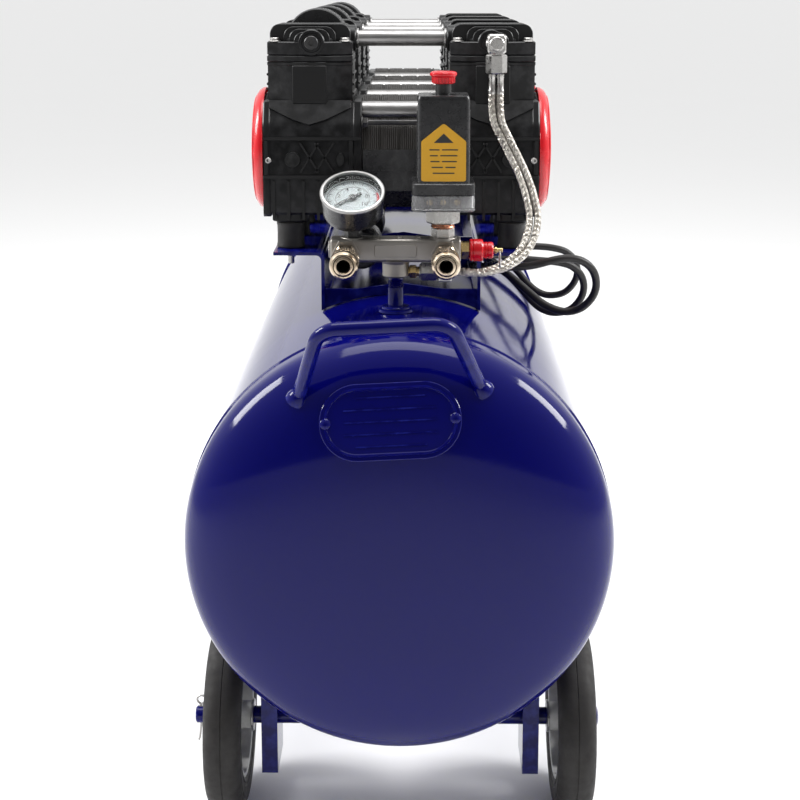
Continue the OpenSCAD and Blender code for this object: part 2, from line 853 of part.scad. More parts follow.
module safety_valve_stem() {
    far = valve_x + valve_body_l + valve_cap_l + stem_out;
    color(brass) rod_x(valve_x + 4, manifold_y, valve_z, stem_d, far - valve_x - 4);
    color(steel) translate([far - 3, manifold_y, valve_z - 8]) rotate([90, 0, 90])
        rotate_extrude($fn = small_fn) translate([7, 0]) circle(d = 2, $fn = 16);
}

// ---- pump units ----------------------------------------------------------------------

stator_l = 2 * crank_in;
rotor_d = 54;
air_gap = 0.6;
bearing_d = 32;
bearing_w = 10;
crank_wall = 6;
shaft_out = 5;
cover_l = 12;
cover_wall_t = 2;
lobe_d = 18;

// Run children at the left (-1) and right (+1) half of every pump
module each_side() {
    for (k = PUMPS, i = SIDES) translate([0, pump_y(k), 0]) scale_x(i) children();
}

module each_pump() {
    for (k = PUMPS) translate([0, pump_y(k), 0]) children();
}

// Crankcase: hollow casting with a bearing seat inboard and a foot on each side
module crankcases() {
    color(black) each_side() difference() {
        union() {
            translate([crank_in, 0, crank_z]) rotate([90, 0, 90])
                linear_extrude(crank_out - crank_in)
                polygon([[-crank_w / 2, 0], [crank_w / 2, 0], [crank_w / 2, crank_h - 22],
                    [head_w / 2, crank_h], [-head_w / 2, crank_h], [-crank_w / 2, crank_h - 22]]);
        }
        translate([crank_in + 14, 0, crank_z + crank_wall]) rotate([90, 0, 90])
            linear_extrude(crank_out - crank_in)
            polygon([[-crank_w / 2 + crank_wall, 0], [crank_w / 2 - crank_wall, 0],
                [crank_w / 2 - crank_wall, crank_h - 34], [head_w / 2 - 6, crank_h - 2 * crank_wall],
                [-head_w / 2 + 6, crank_h - 2 * crank_wall], [-crank_w / 2 + crank_wall, crank_h - 34]]);
        rod_x(crank_in - 1, 0, shaft_z, bearing_d, 20, round_fn);
        rod_z(head_x, 0, crank_top - 20, cylinder_d - 8, 30, round_fn);
        for (j = SIDES) translate([0, j * mount_pitch / 2, 0])
            rod_z(mount_x, 0, crank_z - 1, stud_d, 20);
    }
}

module cylinders() {
    color(black) each_side() difference() {
        translate([head_x, 0, crank_top]) block(head_w, head_w + 4, cyl_h);
        rod_z(head_x, 0, crank_top - 1, piston_d + 2 * bore_wall, cyl_h + 2, round_fn);
        for (i = SIDES, j = SIDES) rod_z(head_x + i * bolt_x, j * bolt_x, crank_top + 8, 5, 40);
    }
}

bolt_x = head_w / 2 - 7;
fin_gap = 4;
fin_pitch = 9;
port_d = 12;

// Finned cylinder head with a port in its front and rear face
module cylinder_heads() {
    color(black) each_side() difference() {
        translate([head_x, 0, head_z]) block(head_w, head_w + 6, head_h);
        for (n = [-2 : 2]) translate([head_x + n * fin_pitch - fin_gap / 2, -28, head_top - 12])
            cube([fin_gap, 56, 20]);
        for (j = SIDES) rod_y(head_x - 2, j * (head_w / 2 + 3) - 8, head_top - 17, port_d, 16);
        rod_x(head_x - head_w / 2 - 1, 0, head_top - 14, cross_d, 14);
        for (i = SIDES, j = SIDES) rod_z(head_x + i * bolt_x, j * bolt_x, head_z - 1, 5, head_h + 2);
        rod_z(head_x, 0, head_z - 1, piston_d - 8, 12, round_fn);
    }
}

module head_screws() {
    color([0.35, 0.35, 0.36]) each_side() for (i = SIDES, j = SIDES)
        translate([head_x + i * bolt_x, j * bolt_x, 0]) {
            rod_z(0, 0, crank_top + 12, 5, cyl_h + head_h - 12);
            difference() {
                rod_z(0, 0, head_top, 9, 4);
                translate([0, 0, head_top + 2]) hex(4, 4);
            }
        }
}

module port_plugs() {
    color([0.25, 0.25, 0.26]) for (k = PUMPS, i = SIDES, j = SIDES)
        if (!(k == 0 && i > 0 && j < 0) && !(i < 0 && j > 0))
            translate([i * (head_x - 2), pump_y(k) + j * (head_w / 2 + 3), head_top - 17])
                rotate([j * 90, 0, 0]) difference() {
                    translate([0, 0, -8]) cylinder(d = port_d, h = 10, $fn = small_fn);
                    translate([0, 0, -4]) hex(5, 8);
                }
}

module cross_tubes() {
    reach = head_x - head_w / 2 + 10;
    color([0.85, 0.85, 0.86]) each_pump() difference() {
        rod_x(-reach, 0, head_top - 14, cross_d, 2 * reach);
        rod_x(-reach - 1, 0, head_top - 14, cross_d - 3, 2 * reach + 2);
    }
}

// Laminated stator with four bolting lobes and its tie rods
module stators() {
    color([0.50, 0.50, 0.50]) each_pump() difference() {
        union() {
            rod_x(-crank_in, 0, shaft_z, stator_d, stator_l, round_fn);
            for (a = [45 : 90 : 315]) rod_x(-crank_in, lobe_y(a), lobe_z(a), lobe_d, stator_l);
        }
        rod_x(-crank_in - 1, 0, shaft_z, rotor_d + 2 * air_gap, stator_l + 2, round_fn);
    }
}

function lobe_y(a) = (stator_d / 2 - 1) * cos(a);
function lobe_z(a) = shaft_z + (stator_d / 2 - 1) * sin(a);

module bearings() {
    color(steel) each_side() ring_x(crank_in + 2, 0, shaft_z, bearing_d, shaft_d + 2 * run_gap,
        bearing_w);
}

eccentric_d = 26;
throw = 7;
fan_d = cover_d - 14;
fan_t = 3.5;

// Shaft with rotor core, a crank disc at each end and the two cooling fans
module pump_rotor(k) {
    color(steel) translate([0, pump_y(k), 0]) {
        rod_x(-crank_out - shaft_out, 0, shaft_z, shaft_d, 2 * (crank_out + shaft_out));
        rod_x(-crank_in + 3, 0, shaft_z, rotor_d, stator_l - 6, round_fn);
        for (i = SIDES) scale_x(i) {
            rod_x(crank_in + 18, 0, shaft_z - throw, eccentric_d + 6, 10);
            rod_x(crank_in + 30, 0, shaft_z + throw, eccentric_d, 24);
            rod_x(crank_out - 6, 0, shaft_z, 24, 8);
            rod_x(crank_out + 1.5, 0, shaft_z, fan_d, fan_t, round_fn);
        }
    }
}

// Slotted red dome over each cooling fan
module fan_covers() {
    color(red) each_side() difference() {
        union() {
            rod_x(crank_out, 0, shaft_z, cover_d, cover_l - 4, round_fn);
            translate([crank_out + cover_l - 4, 0, shaft_z]) rotate([0, 90, 0])
                cylinder(d1 = cover_d, d2 = cover_d - 24, h = 4, $fn = round_fn);
        }
        rod_x(crank_out - 1, 0, shaft_z, cover_d - 2 * cover_wall_t, cover_l - 4, round_fn);
        for (n = [-4 : 4]) translate([crank_out, n * 10 - 2, shaft_z - 36])
            cube([20, 4, 72]);
    }
}

filter_gap = 23;
filter_l = pump_pitch - head_w - 6 - filter_gap;

// Round intake filter on the rear port of each left head
module intake_filters() {
    y0 = head_w / 2 + 3;
    color(black) each_pump() {
        rod_y(-head_x + 2, y0 - 8, head_top - 17, port_d, 14);
        rod_y(-head_x + 2, y0 + 6, head_top - 17, filter_d, filter_l - 8, round_fn);
        translate([-head_x + 2, y0 + filter_l - 2, head_top - 17]) rotate([-90, 0, 0])
            cylinder(d1 = filter_d, d2 = filter_d - 16, h = 8, $fn = round_fn);
    }
}

// Start capacitors strapped between the rails under each motor
module motor_capacitors() {
    color([0.16, 0.16, 0.17]) each_pump()
        rod_y(-38, -38, deck_z - 4, 36, 76, round_fn);
}

// Wobble pistons: crown, seal ring and connecting rod in one, at mid-stroke
module pistons() {
    color([0.62, 0.62, 0.60]) each_side() {
        rod_z(head_x, 0, head_z - 22, piston_d, 12, round_fn);
        translate([head_x, 0, shaft_z + eccentric_d / 2 + throw + 3])
            block(12, 18, head_z - 22 - (shaft_z + eccentric_d / 2 + throw + 3));
    }
}

// ---- outlet, hoses and mains cord ---------------------------------------------------------

elbow_x = head_x + 2;
elbow_y = pump_y(0) - head_w / 2 - 3;
elbow_z = head_top - 17;
ferrule_z = elbow_z - 44;
hose_gap = 0.4;

// Outlet elbow, union nut and the two hose ferrules on the front right head
module outlet_elbow() {
    color(steel) {
        rod_y(elbow_x - 4, elbow_y - 12, elbow_z, port_d, 20);
        translate([elbow_x, elbow_y - 22, elbow_z - 9]) block(17, 18, 18);
        translate([elbow_x, elbow_y - 22, elbow_z - 28]) hex(18, 19);
        for (i = SIDES) rod_z(elbow_x + i * (hose_d + hose_gap) / 2, elbow_y - 22, ferrule_z,
            hose_d, 16);
    }
}

HOSE = [
    [88, -275, 673], [88, -276, 659], [90, -278, 645], [97, -280, 630], [105, -284, 614],
    [113, -290, 597], [119, -298, 579], [122, -306, 561], [119, -316, 545], [111, -326, 532],
    [99, -334, 523], [86, -340, 518], [72, -345, 516], [60, -348, 517], [52, -350, 518]
];

module air_hoses() {
    color([0.66, 0.64, 0.60]) for (i = SIDES)
        swept_tube(smooth_route([for (p = HOSE) p + [i * (hose_d + hose_gap) / 2, 0, 0]], 2), hose_d);
}

gland_l = 30;

module cable_gland() {
    color(black) difference() {
        union() {
            rod_x(web_x - sheet_t - 4, gland_y, gland_z, 11.5, 10);
            translate([web_x, gland_y, gland_z]) rotate([0, 90, 0]) hex(16, 5);
            translate([web_x + 5, gland_y, gland_z]) rotate([0, 90, 0])
                cylinder(d1 = 15, d2 = cord_d + 3, h = gland_l - 5, $fn = small_fn);
        }
        rod_x(web_x - sheet_t - 5, gland_y, gland_z, cord_d, gland_l + 4);
    }
}

CORD = [
    [105, -190, 493], [118, -190, 493], [134, -189, 495], [150, -188, 499], [166, -186, 501],
    [182, -182, 497], [193, -177, 486], [197, -170, 470], [193, -163, 455], [182, -156, 443],
    [166, -150, 439], [147, -143, 445], [131, -137, 457], [116, -130, 469], [102, -119, 478],
    [92, -106, 483], [88, -91, 485], [91, -76, 485], [101, -64, 483], [116, -58, 480],
    [133, -57, 477], [151, -55, 475], [168, -52, 473], [184, -49, 468], [195, -45, 457],
    [199, -40, 442], [195, -35, 427], [184, -30, 415], [168, -25, 411], [155, -20, 414],
    [145, -15, 421], [133, -8, 434], [120, 0, 447], [107, 10, 458], [96, 22, 466],
    [91, 37, 471], [93, 52, 473], [102, 64, 473], [117, 70, 471], [136, 71, 469],
    [156, 73, 469], [174, 75, 467], [190, 78, 462], [201, 82, 451], [205, 87, 436],
    [201, 92, 421], [190, 97, 409], [174, 102, 405], [161, 107, 408], [150, 112, 416],
    [137, 119, 430], [124, 128, 443], [112, 140, 454], [103, 156, 461], [97, 176, 463],
    [94, 200, 464], [92, 224, 464], [92, 248, 465], [93, 268, 469], [95, 286, 476],
    [96, 300, 480], [96, 314, 480]
];

module power_cord() {
    color(rubber) swept_tube(CORD, cord_d);
}

// Moulded mains plug on the end of the cord, lying beside the rail
module mains_plug() {
    end = CORD[len(CORD) - 1];
    color(rubber) translate(end) {
        rod_y(0, 0, 0, 12, 14);
        translate([0, 14, 0]) rotate([-90, 0, 0]) cylinder(d1 = 14, d2 = 36, h = 14, $fn = round_fn);
        rod_y(0, 28, 0, 36, 12, round_fn);
        for (i = SIDES) rod_y(i * 9.5, 40, 0, 4.8, 19);
    }
}

// ---- all pieces --------------------------------------------------------------------------

tank_shell();
front_handle();
rear_handle();
nameplate();
nameplate_studs();
axle_brackets();
axle();
split_pin();
axle_washers();
rear_legs();
rubber_feet();
drain_valve();
drain_knob();
frame_rails();
frame_saddles();
rubber_mounts();
mount_fasteners();
riser_pipe();
manifold_block();
manifold_fittings();
coupler_bodies();
coupler_sleeve(-1);  // coupler_sleeve_left
coupler_sleeve(1);  // coupler_sleeve_right
gauge_case();
gauge_bezel();
gauge_dial();
gauge_needle();
gauge_glass();
switch_adaptor();
switch_base();
switch_cover();
switch_label();
switch_knob();
safety_valve_body();
safety_valve_stem();
outlet_elbow();
air_hoses();
cable_gland();
power_cord();
mains_plug();
crankcases();
cylinders();
cylinder_heads();
stators();
cross_tubes();
fan_covers();
intake_filters();
head_screws();
port_plugs();
motor_capacitors();
bearings();
pistons();
wheel_hub(-1);  // wheel_hub_left
wheel_hub(1);  // wheel_hub_right
tyre(-1);  // tyre_left
tyre(1);  // tyre_right
pump_rotor(0);  // pump_1_rotor
pump_rotor(1);  // pump_2_rotor
pump_rotor(2);  // pump_3_rotor
pump_rotor(3);  // pump_4_rotor
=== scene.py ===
"""Visual model of a wheeled, oil-free workshop air compressor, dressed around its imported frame.

Y runs along the tank, away from the wheels and controls. Sizes are millimetres inside the classes
and metres once a piece is handed over to the scene.
"""

import json
import logging
import math
from collections.abc import Callable, Sequence
from dataclasses import dataclass, field
from enum import Enum
from typing import Any

import bmesh
import bpy
from mathutils import Matrix, Vector

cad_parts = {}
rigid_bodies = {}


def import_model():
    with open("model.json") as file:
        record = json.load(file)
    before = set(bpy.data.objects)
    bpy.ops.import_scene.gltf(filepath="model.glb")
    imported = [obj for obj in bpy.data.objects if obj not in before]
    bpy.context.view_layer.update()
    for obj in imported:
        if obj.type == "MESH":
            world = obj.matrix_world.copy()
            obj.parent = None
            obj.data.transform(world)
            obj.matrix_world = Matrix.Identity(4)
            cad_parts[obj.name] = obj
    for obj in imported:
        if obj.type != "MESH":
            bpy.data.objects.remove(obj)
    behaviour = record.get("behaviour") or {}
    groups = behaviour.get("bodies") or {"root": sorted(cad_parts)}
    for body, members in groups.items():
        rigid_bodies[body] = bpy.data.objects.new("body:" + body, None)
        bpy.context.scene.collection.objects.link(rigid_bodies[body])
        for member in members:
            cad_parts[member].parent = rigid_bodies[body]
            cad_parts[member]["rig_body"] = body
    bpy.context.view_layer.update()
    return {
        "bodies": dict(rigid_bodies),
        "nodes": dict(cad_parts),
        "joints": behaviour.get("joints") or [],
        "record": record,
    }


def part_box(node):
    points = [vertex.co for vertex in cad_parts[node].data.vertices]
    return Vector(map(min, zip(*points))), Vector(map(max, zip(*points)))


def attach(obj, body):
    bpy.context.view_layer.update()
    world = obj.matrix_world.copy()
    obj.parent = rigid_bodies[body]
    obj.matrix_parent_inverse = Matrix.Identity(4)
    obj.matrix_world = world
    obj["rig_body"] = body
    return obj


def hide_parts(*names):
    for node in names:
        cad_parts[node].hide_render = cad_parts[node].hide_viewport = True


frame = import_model()

log = logging.getLogger("compressor")
MM = 0.001
SHARP = math.radians(32)
SIDES = (-1, 1)
Outline = list[tuple[float, float]]
Colour = tuple[float, float, float]


# ---- shape helpers ---------------------------------------------------------------------------


def arc(cx: float, cy: float, r: float, start: float, end: float, steps: int = 8) -> Outline:
    """Points along a circular arc.

    Args:
        cx: Centre's first coordinate.
        cy: Centre's second coordinate.
        r: Radius.
        start: Start angle in degrees.
        end: End angle in degrees.
        steps: Number of chords.

    Returns:
        The points, both ends included.
    """
    turns = [math.radians(start + (end - start) * i / steps) for i in range(steps + 1)]
    return [(cx + r * math.cos(t), cy + r * math.sin(t)) for t in turns]


def round_rect(w: float, h: float, r: float, steps: int = 6) -> Outline:
    """Rounded rectangle centred on the origin.

    Args:
        w: Width.
        h: Height.
        r: Corner radius.
        steps: Chords in each corner.

    Returns:
        The outline, anticlockwise.
    """
    x, y = w / 2 - r, h / 2 - r
    corners = ((x, y, 0), (-x, y, 90), (-x, -y, 180), (x, -y, 270))
    return [p for cx, cy, a in corners for p in arc(cx, cy, r, a, a + 90, steps)]


def hexagon(across: float) -> Outline:
    """Hexagon of a given width across its flats."""
    return arc(0, 0, across / 2 / math.cos(math.pi / 6), 0, 300, 5)


def rounded_path(points: Sequence[Vector], r: float, steps: int = 8) -> list[Vector]:
    """Path with its inner corners rounded.

    Args:
        points: Corners of the path.
        r: Bend radius.
        steps: Chords in each bend.

    Returns:
        The rounded path.
    """
    path = [points[0]]
    for a, b, c in zip(points, points[1:], points[2:]):
        u, v = (a - b).normalized(), (c - b).normalized()
        half = u.angle(v) / 2
        centre = b + (u + v).normalized() * (r / math.sin(half))
        start, end = b + u * (r / math.tan(half)), b + v * (r / math.tan(half))
        for i in range(steps + 1):
            path.append(centre + (start - centre).slerp(end - centre, i / steps).normalized() * r)
    return [*path, points[-1]]


def smooth_route(points: Sequence[Sequence[float]], steps: int) -> list[Vector]:
    """Catmull-Rom curve through listed points.

    Args:
        points: The route's points.
        steps: Spans between two points.

    Returns:
        The dense route, ends included.
    """
    p = [Vector(q) for q in points]
    dense = []
    for i in range(len(p) - 1):
        a, b, c, d = p[max(i - 1, 0)], p[i], p[i + 1], p[min(i + 2, len(p) - 1)]
        for j in range(steps):
            t = j / steps
            dense.append(0.5 * (2 * b + (c - a) * t + (2 * a - 5 * b + 4 * c - d) * t * t
                                + (3 * b - a - 3 * c + d) * t ** 3))
    return [*dense, p[-1]]


def route_length(route: Sequence[Vector]) -> float:
    """Length along a route."""
    return sum((b - a).length for a, b in zip(route, route[1:]))


def facing(at: Sequence[float], towards: Sequence[float] = (0, 0, 1), spin: float = 0.0) -> Matrix:
    """Placement whose own Z points along a direction and whose own Y points up.

    Args:
        at: Origin of the placement.
        towards: Direction of its Z axis.
        spin: Turn about that axis in degrees.

    Returns:
        The placement matrix.
    """
    d = Vector(towards).normalized()
    turn = Matrix.Identity(4) if abs(d.z) > 0.999 else d.to_track_quat("Z", "Y").to_matrix().to_4x4()
    if d.z < -0.999:
        turn = Matrix.Rotation(math.pi, 4, "X")
    return Matrix.Translation(Vector(at)) @ turn @ Matrix.Rotation(math.radians(spin), 4, "Z")


class Solid:
    """A mesh under construction, in millimetres, whose parts are added one after another."""

    def __init__(self) -> None:
        """Starts an empty mesh at the origin."""
        self.bm = bmesh.new()
        self.at = Matrix.Identity(4)
        self.paint = 0

    def put(self, at: Sequence[float], towards: Sequence[float] = (0, 0, 1), spin: float = 0.0) -> "Solid":
        """Sets where the next parts go; see facing()."""
        self.at = facing(at, towards, spin)
        return self

    def use(self, paint: int) -> "Solid":
        """Sets the material index of the next parts."""
        self.paint = paint
        return self

    def add(self, points: Sequence[Sequence[float]], faces: Sequence[Sequence[int]]) -> "Solid":
        """Adds points and faces at the current place."""
        rows = [self.bm.verts.new(self.at @ Vector(p)) for p in points]
        for f in faces:
            made = self.bm.faces.new([rows[i] for i in f])
            made.material_index = self.paint
        return self

    def lathe(self, profile: Outline, segments: int = 48, closed: bool = False) -> "Solid":
        """Turns a profile of (radius, height) about the current Z axis.

        Args:
            profile: The points, with radius 0 where it meets the axis.
            segments: Steps around.
            closed: Whether the last point joins the first, as in a ring.

        Returns:
            The solid itself.
        """
        points, rings = [], []
        for r, z in profile:
            count = 1 if r < 1e-6 else segments
            rings.append([len(points) + i for i in range(count)])
            points += [(r * math.cos(math.tau * i / segments), r * math.sin(math.tau * i / segments), z)
                       for i in range(count)]
        faces = []
        pairs = list(zip(rings, rings[1:])) + ([(rings[-1], rings[0])] if closed else [])
        for a, b in pairs:
            for i in range(segments):
                j = (i + 1) % segments
                quad = [a[i % len(a)], a[j % len(a)], b[j % len(b)], b[i % len(b)]]
                face = list(dict.fromkeys(quad))
                if len(face) > 2:
                    faces.append(face)
        return self.add(points, faces)

    def rod(self, r: float, low: float, high: float, ease: float = 0.4, segments: int = 32) -> "Solid":
        """Adds a plain rod with eased edges between two heights."""
        e = min(ease, r / 3, (high - low) / 3)
        profile = [(0, low), (r - e, low), (r, low + e), (r, high - e), (r - e, high), (0, high)]
        return self.lathe(profile, segments)

    def ring(self, r_out: float, r_in: float, low: float, high: float, segments: int = 48) -> "Solid":
        """Adds a ring of rectangular section with eased outer edges."""
        e = min(0.4, (high - low) / 3, (r_out - r_in) / 3)
        return self.lathe([(r_in, low), (r_out - e, low), (r_out, low + e), (r_out, high - e),
                           (r_out - e, high), (r_in, high)], segments, closed=True)

    def torus(self, r: float, wire: float, segments: int = 48, sides: int = 12) -> "Solid":
        """Adds a torus about the current Z axis."""
        return self.lathe(arc(r, 0, wire, 0, 360 - 360 / sides, sides - 1), segments, closed=True)

    def prism(self, outline: Outline, low: float, high: float, top: float = 1.0,
              ease: float = 0.0) -> "Solid":
        """Adds a prism of an outline in the current XY plane.

        Args:
            outline: The outline's points.
            low: Lower height.
            high: Upper height.
            top: Scale of the outline at the upper height.
            ease: Size of the chamfer on both rims.

        Returns:
            The solid itself.
        """
        span = max(max(abs(x), abs(y)) for x, y in outline)
        inset = 1 - ease / span if span else 1
        levels = [(low, 1.0), (high, top)]
        if ease:
            levels = [(low, inset), (low + ease, 1.0), (high - ease, top), (high, top * inset)]
        n = len(outline)
        points = [(x * s, y * s, z) for z, s in levels for x, y in outline]
        faces: list[list[int]] = [list(range(n))[::-1], [len(points) - n + i for i in range(n)]]
        for k in range(len(levels) - 1):
            faces += [[k * n + i, k * n + (i + 1) % n, (k + 1) * n + (i + 1) % n, (k + 1) * n + i]
                      for i in range(n)]
        return self.add(points, faces)

    def block(self, x: float, y: float, low: float, high: float, r: float = 1.5,
              ease: float = 0.6) -> "Solid":
        """Adds a rounded block centred on the current X and Y."""
        return self.prism(round_rect(x, y, r, 4), low, high, ease=ease)

    def studded(self, count: int, r: float, z: float, size: tuple[float, float, float]) -> "Solid":
        """Adds raised blocks around the current Z axis.

        Args:
            count: Number of blocks.
            r: Radius of their feet.
            z: Height of their middles.
            size: Length along the axis, width, and rise.

        Returns:
            The solid itself.
        """
        home = self.at
        stand = Matrix.Translation((r, 0, z)) @ Matrix.Rotation(math.pi / 2, 4, "Y")
        for k in range(count):
            self.at = home @ Matrix.Rotation(math.tau * k / count, 4, "Z") @ stand
            self.block(size[0], size[1], 0, size[2], min(size[:2]) / 3, size[2] / 4)
        self.at = home
        return self

    def sweep(self, path: Sequence[Vector], r: float | Callable[[float], float], sides: int = 16) -> "Solid":
        """Adds a round tube along a path.

        Args:
            path: Points of the centre line.
            r: Radius, or a function of the share of the path from 0 to 1.
            sides: Sides of the section.

        Returns:
            The solid itself.
        """
        radius = r if callable(r) else (lambda share: r)
        points: list[Vector] = []
        for i, (centre, n, b) in enumerate(carried_frames(path)):
            size = radius(i / (len(path) - 1))
            points += [centre + size * (math.cos(math.tau * s / sides) * n
                                        + math.sin(math.tau * s / sides) * b) for s in range(sides)]
        last = len(points) - sides
        faces: list[list[int]] = [list(range(sides))[::-1], [last + s for s in range(sides)]]
        for i in range(len(path) - 1):
            faces += [[i * sides + s, i * sides + (s + 1) % sides,
                       (i + 1) * sides + (s + 1) % sides, (i + 1) * sides + s] for s in range(sides)]
        return self.add(points, faces)

    def mirrored(self) -> "Solid":
        """Flips the whole mesh to the other side of X = 0."""
        bmesh.ops.scale(self.bm, vec=(-1, 1, 1), verts=self.bm.verts[:])
        bmesh.ops.reverse_faces(self.bm, faces=self.bm.faces[:])
        return self

    def make(self, name: str, finishes: Sequence[bpy.types.Material], tidy: bool = True) -> bpy.types.Object:
        """Turns the mesh into an object in metres.

        Args:
            name: Name of the object.
            finishes: Its materials, in the order of their indices.
            tidy: Whether face normals are made to point outwards.

        Returns:
            The new object, linked to the scene.
        """
        if tidy:
            bmesh.ops.recalc_face_normals(self.bm, faces=self.bm.faces[:])
        bmesh.ops.scale(self.bm, vec=(MM, MM, MM), verts=self.bm.verts[:])
        for f in self.bm.faces:
            f.smooth = True
        for e in self.bm.edges:
            e.smooth = e.is_manifold and e.calc_face_angle(0.0) < SHARP
        mesh = bpy.data.meshes.new(name)
        self.bm.to_mesh(mesh)
        self.bm.free()
        made = bpy.data.objects.new(name, mesh)
        for finish in finishes:
            mesh.materials.append(finish)
        bpy.context.scene.collection.objects.link(made)
        return made


def carried_frames(path: Sequence[Vector]) -> list[tuple[Vector, Vector, Vector]]:
    """Centre, normal and binormal at each point of a path, carried along without twist."""
    frames = []
    normal = Vector((0, 0, 1))
    for i, centre in enumerate(path):
        ahead = path[min(i + 1, len(path) - 1)] - path[max(i - 1, 0)]
        along = ahead.normalized()
        if i == 0 and abs(along.z) > 0.8:
            normal = Vector((0, 1, 0))
        normal = (normal - along * normal.dot(along)).normalized()
        frames.append((centre, normal, along.cross(normal)))
    return frames


def socket_screw(solid: Solid, at: Sequence[float], towards: Sequence[float], d: float = 9.0,
                 h: float = 4.0) -> None:
    """Adds a cap screw head with a hexagonal socket.

    Args:
        solid: The mesh that gets it.
        at: Middle of its seat.
        towards: Direction in which its head points.
        d: Head diameter.
        h: Head height.
    """
    r = d / 2
    solid.put(at, towards).lathe([(r, 0), (r, h - 0.5), (r - 0.5, h), (r * 0.55, h)], 32)
    n = 6
    rim = [(x, y, h) for x, y in arc(0, 0, r * 0.55, 0, 360 - 360 / 32, 31)]
    inner = [(x, y, h) for x, y in arc(0, 0, r * 0.46, 0, 300, 5)]
    floor = [(x, y, h * 0.45) for x, y in arc(0, 0, r * 0.46, 0, 300, 5)]
    faces = [[32 + k, 32 + (k + 1) % n, 38 + (k + 1) % n, 38 + k] for k in range(n)]
    faces.append([38 + k for k in range(n)])
    for i in range(32):
        k, m = round(i * n / 32) % n, round((i + 1) * n / 32) % n
        faces.append([i, (i + 1) % 32, 32 + m, 32 + k] if k != m else [i, (i + 1) % 32, 32 + k])
    solid.add([*rim, *inner, *floor], faces)


# ---- finishes --------------------------------------------------------------------------------


class Shader:
    """Adds the nodes of one material around its surface shader."""

    def __init__(self, name: str) -> None:
        """Starts a material of that name."""
        self.material = bpy.data.materials.new(name)
        self.material.use_nodes = True
        self.tree = self.material.node_tree
        self.surface = next(n for n in self.tree.nodes if n.type == "BSDF_PRINCIPLED")
        self.places = self.tree.nodes.new("ShaderNodeTexCoord").outputs["Object"]

    def node(self, kind: str, **values: Any) -> bpy.types.Node:
        """Adds a node and sets or links its inputs by name."""
        made = self.tree.nodes.new(kind)
        for key, value in values.items():
            self.feed(made.inputs[key.replace("_", " ")], value)
        return made

    def feed(self, socket: bpy.types.NodeSocket, value: Any) -> None:
        """Links a socket to another, or sets its value.

        Args:
            socket: The input.
            value: A socket to link, a colour or a plain value.
        """
        if isinstance(value, bpy.types.NodeSocket):
            self.tree.links.new(value, socket)
        elif isinstance(value, tuple) and len(value) == 3 and socket.type == "RGBA":
            socket.default_value = (*value, 1.0)
        else:
            socket.default_value = value

    def stretched(self, by: tuple[float, float, float]) -> bpy.types.NodeSocket:
        """Object coordinates scaled along each axis."""
        return self.node("ShaderNodeMapping", Vector=self.places, Scale=by).outputs["Vector"]

    def noise(self, scale: float, detail: float = 3.0, by: tuple[float, float, float] | None = None,
              roughness: float = 0.6) -> bpy.types.NodeSocket:
        """Noise at a scale of cells to the metre."""
        where = self.stretched(by) if by else self.places
        made = self.node("ShaderNodeTexNoise", Vector=where, Scale=scale, Detail=detail,
                         Roughness=roughness)
        return made.outputs["Fac"]

    def bands(self, scale: float, axis: str) -> bpy.types.NodeSocket:
        """Sine bands across one axis."""
        made = self.node("ShaderNodeTexWave", Vector=self.places, Scale=scale)
        made.bands_direction = axis
        return made.outputs["Fac"]

    def level(self, value: bpy.types.NodeSocket, low: float, high: float, start: float = 0.0,
              end: float = 1.0) -> bpy.types.NodeSocket:
        """Maps a span of a value to another span, held at both ends.

        Args:
            value: The value.
            low: Result at the start.
            high: Result at the end.
            start: Where the span begins.
            end: Where the span ends.

        Returns:
            The mapped value.
        """
        made = self.tree.nodes.new("ShaderNodeMapRange")
        for index, number in ((1, start), (2, end), (3, low), (4, high)):
            made.inputs[index].default_value = number
        self.tree.links.new(value, made.inputs[0])
        return made.outputs[0]

    def mix(self, share: bpy.types.NodeSocket, a: Any, b: Any) -> bpy.types.NodeSocket:
        """Mixes two colours.

        Args:
            share: Share of the second colour.
            a: First colour, plain or linked.
            b: Second colour, plain or linked.

        Returns:
            The mixed colour.
        """
        made = self.tree.nodes.new("ShaderNodeMix")
        made.data_type = "RGBA"
        sockets = {s.identifier: s for s in made.inputs}
        self.feed(sockets["Factor_Float"], share)
        self.feed(sockets["A_Color"], a)
        self.feed(sockets["B_Color"], b)
        return next(s for s in made.outputs if s.identifier == "Result_Color")

    def edges(self, start: float = 0.52, end: float = 0.60) -> bpy.types.NodeSocket:
        """Share of painted highlight on convex edges, with some wear, broken up by noise.

        Args:
            start: Pointiness where the painted highlight and wear begin.
            end: Pointiness where it is full.

        Returns:
            The share.
        """
        raised = self.node("ShaderNodeNewGeometry").outputs["Pointiness"]
        # Convex edges get a lighter colour: a painted highlight, with some wear.
        sheen_and_wear = self.level(raised, 0.0, 1.0, start, end)
        patchy = self.level(self.noise(90, 5), 0.0, 1.0, 0.42, 0.68)
        made = self.tree.nodes.new("ShaderNodeMath")
        made.operation = "MULTIPLY"
        self.feed(made.inputs[0], sheen_and_wear)
        self.feed(made.inputs[1], patchy)
        return made.outputs[0]

    def bump(self, height: bpy.types.NodeSocket, depth: float, under: Any = None) -> bpy.types.NodeSocket:
        """Bump of a height field, depth in millimetres."""
        made = self.node("ShaderNodeBump", Height=height, Strength=1.0, Distance=depth * MM)
        if under is not None:
            self.feed(made.inputs["Normal"], under)
        return made.outputs["Normal"]

    def dress(self, **values: Any) -> bpy.types.Material:
        """Sets or links sockets of the surface shader by name."""
        for key, value in values.items():
            self.feed(self.surface.inputs[key.replace("_", " ")], value)
        return self.material


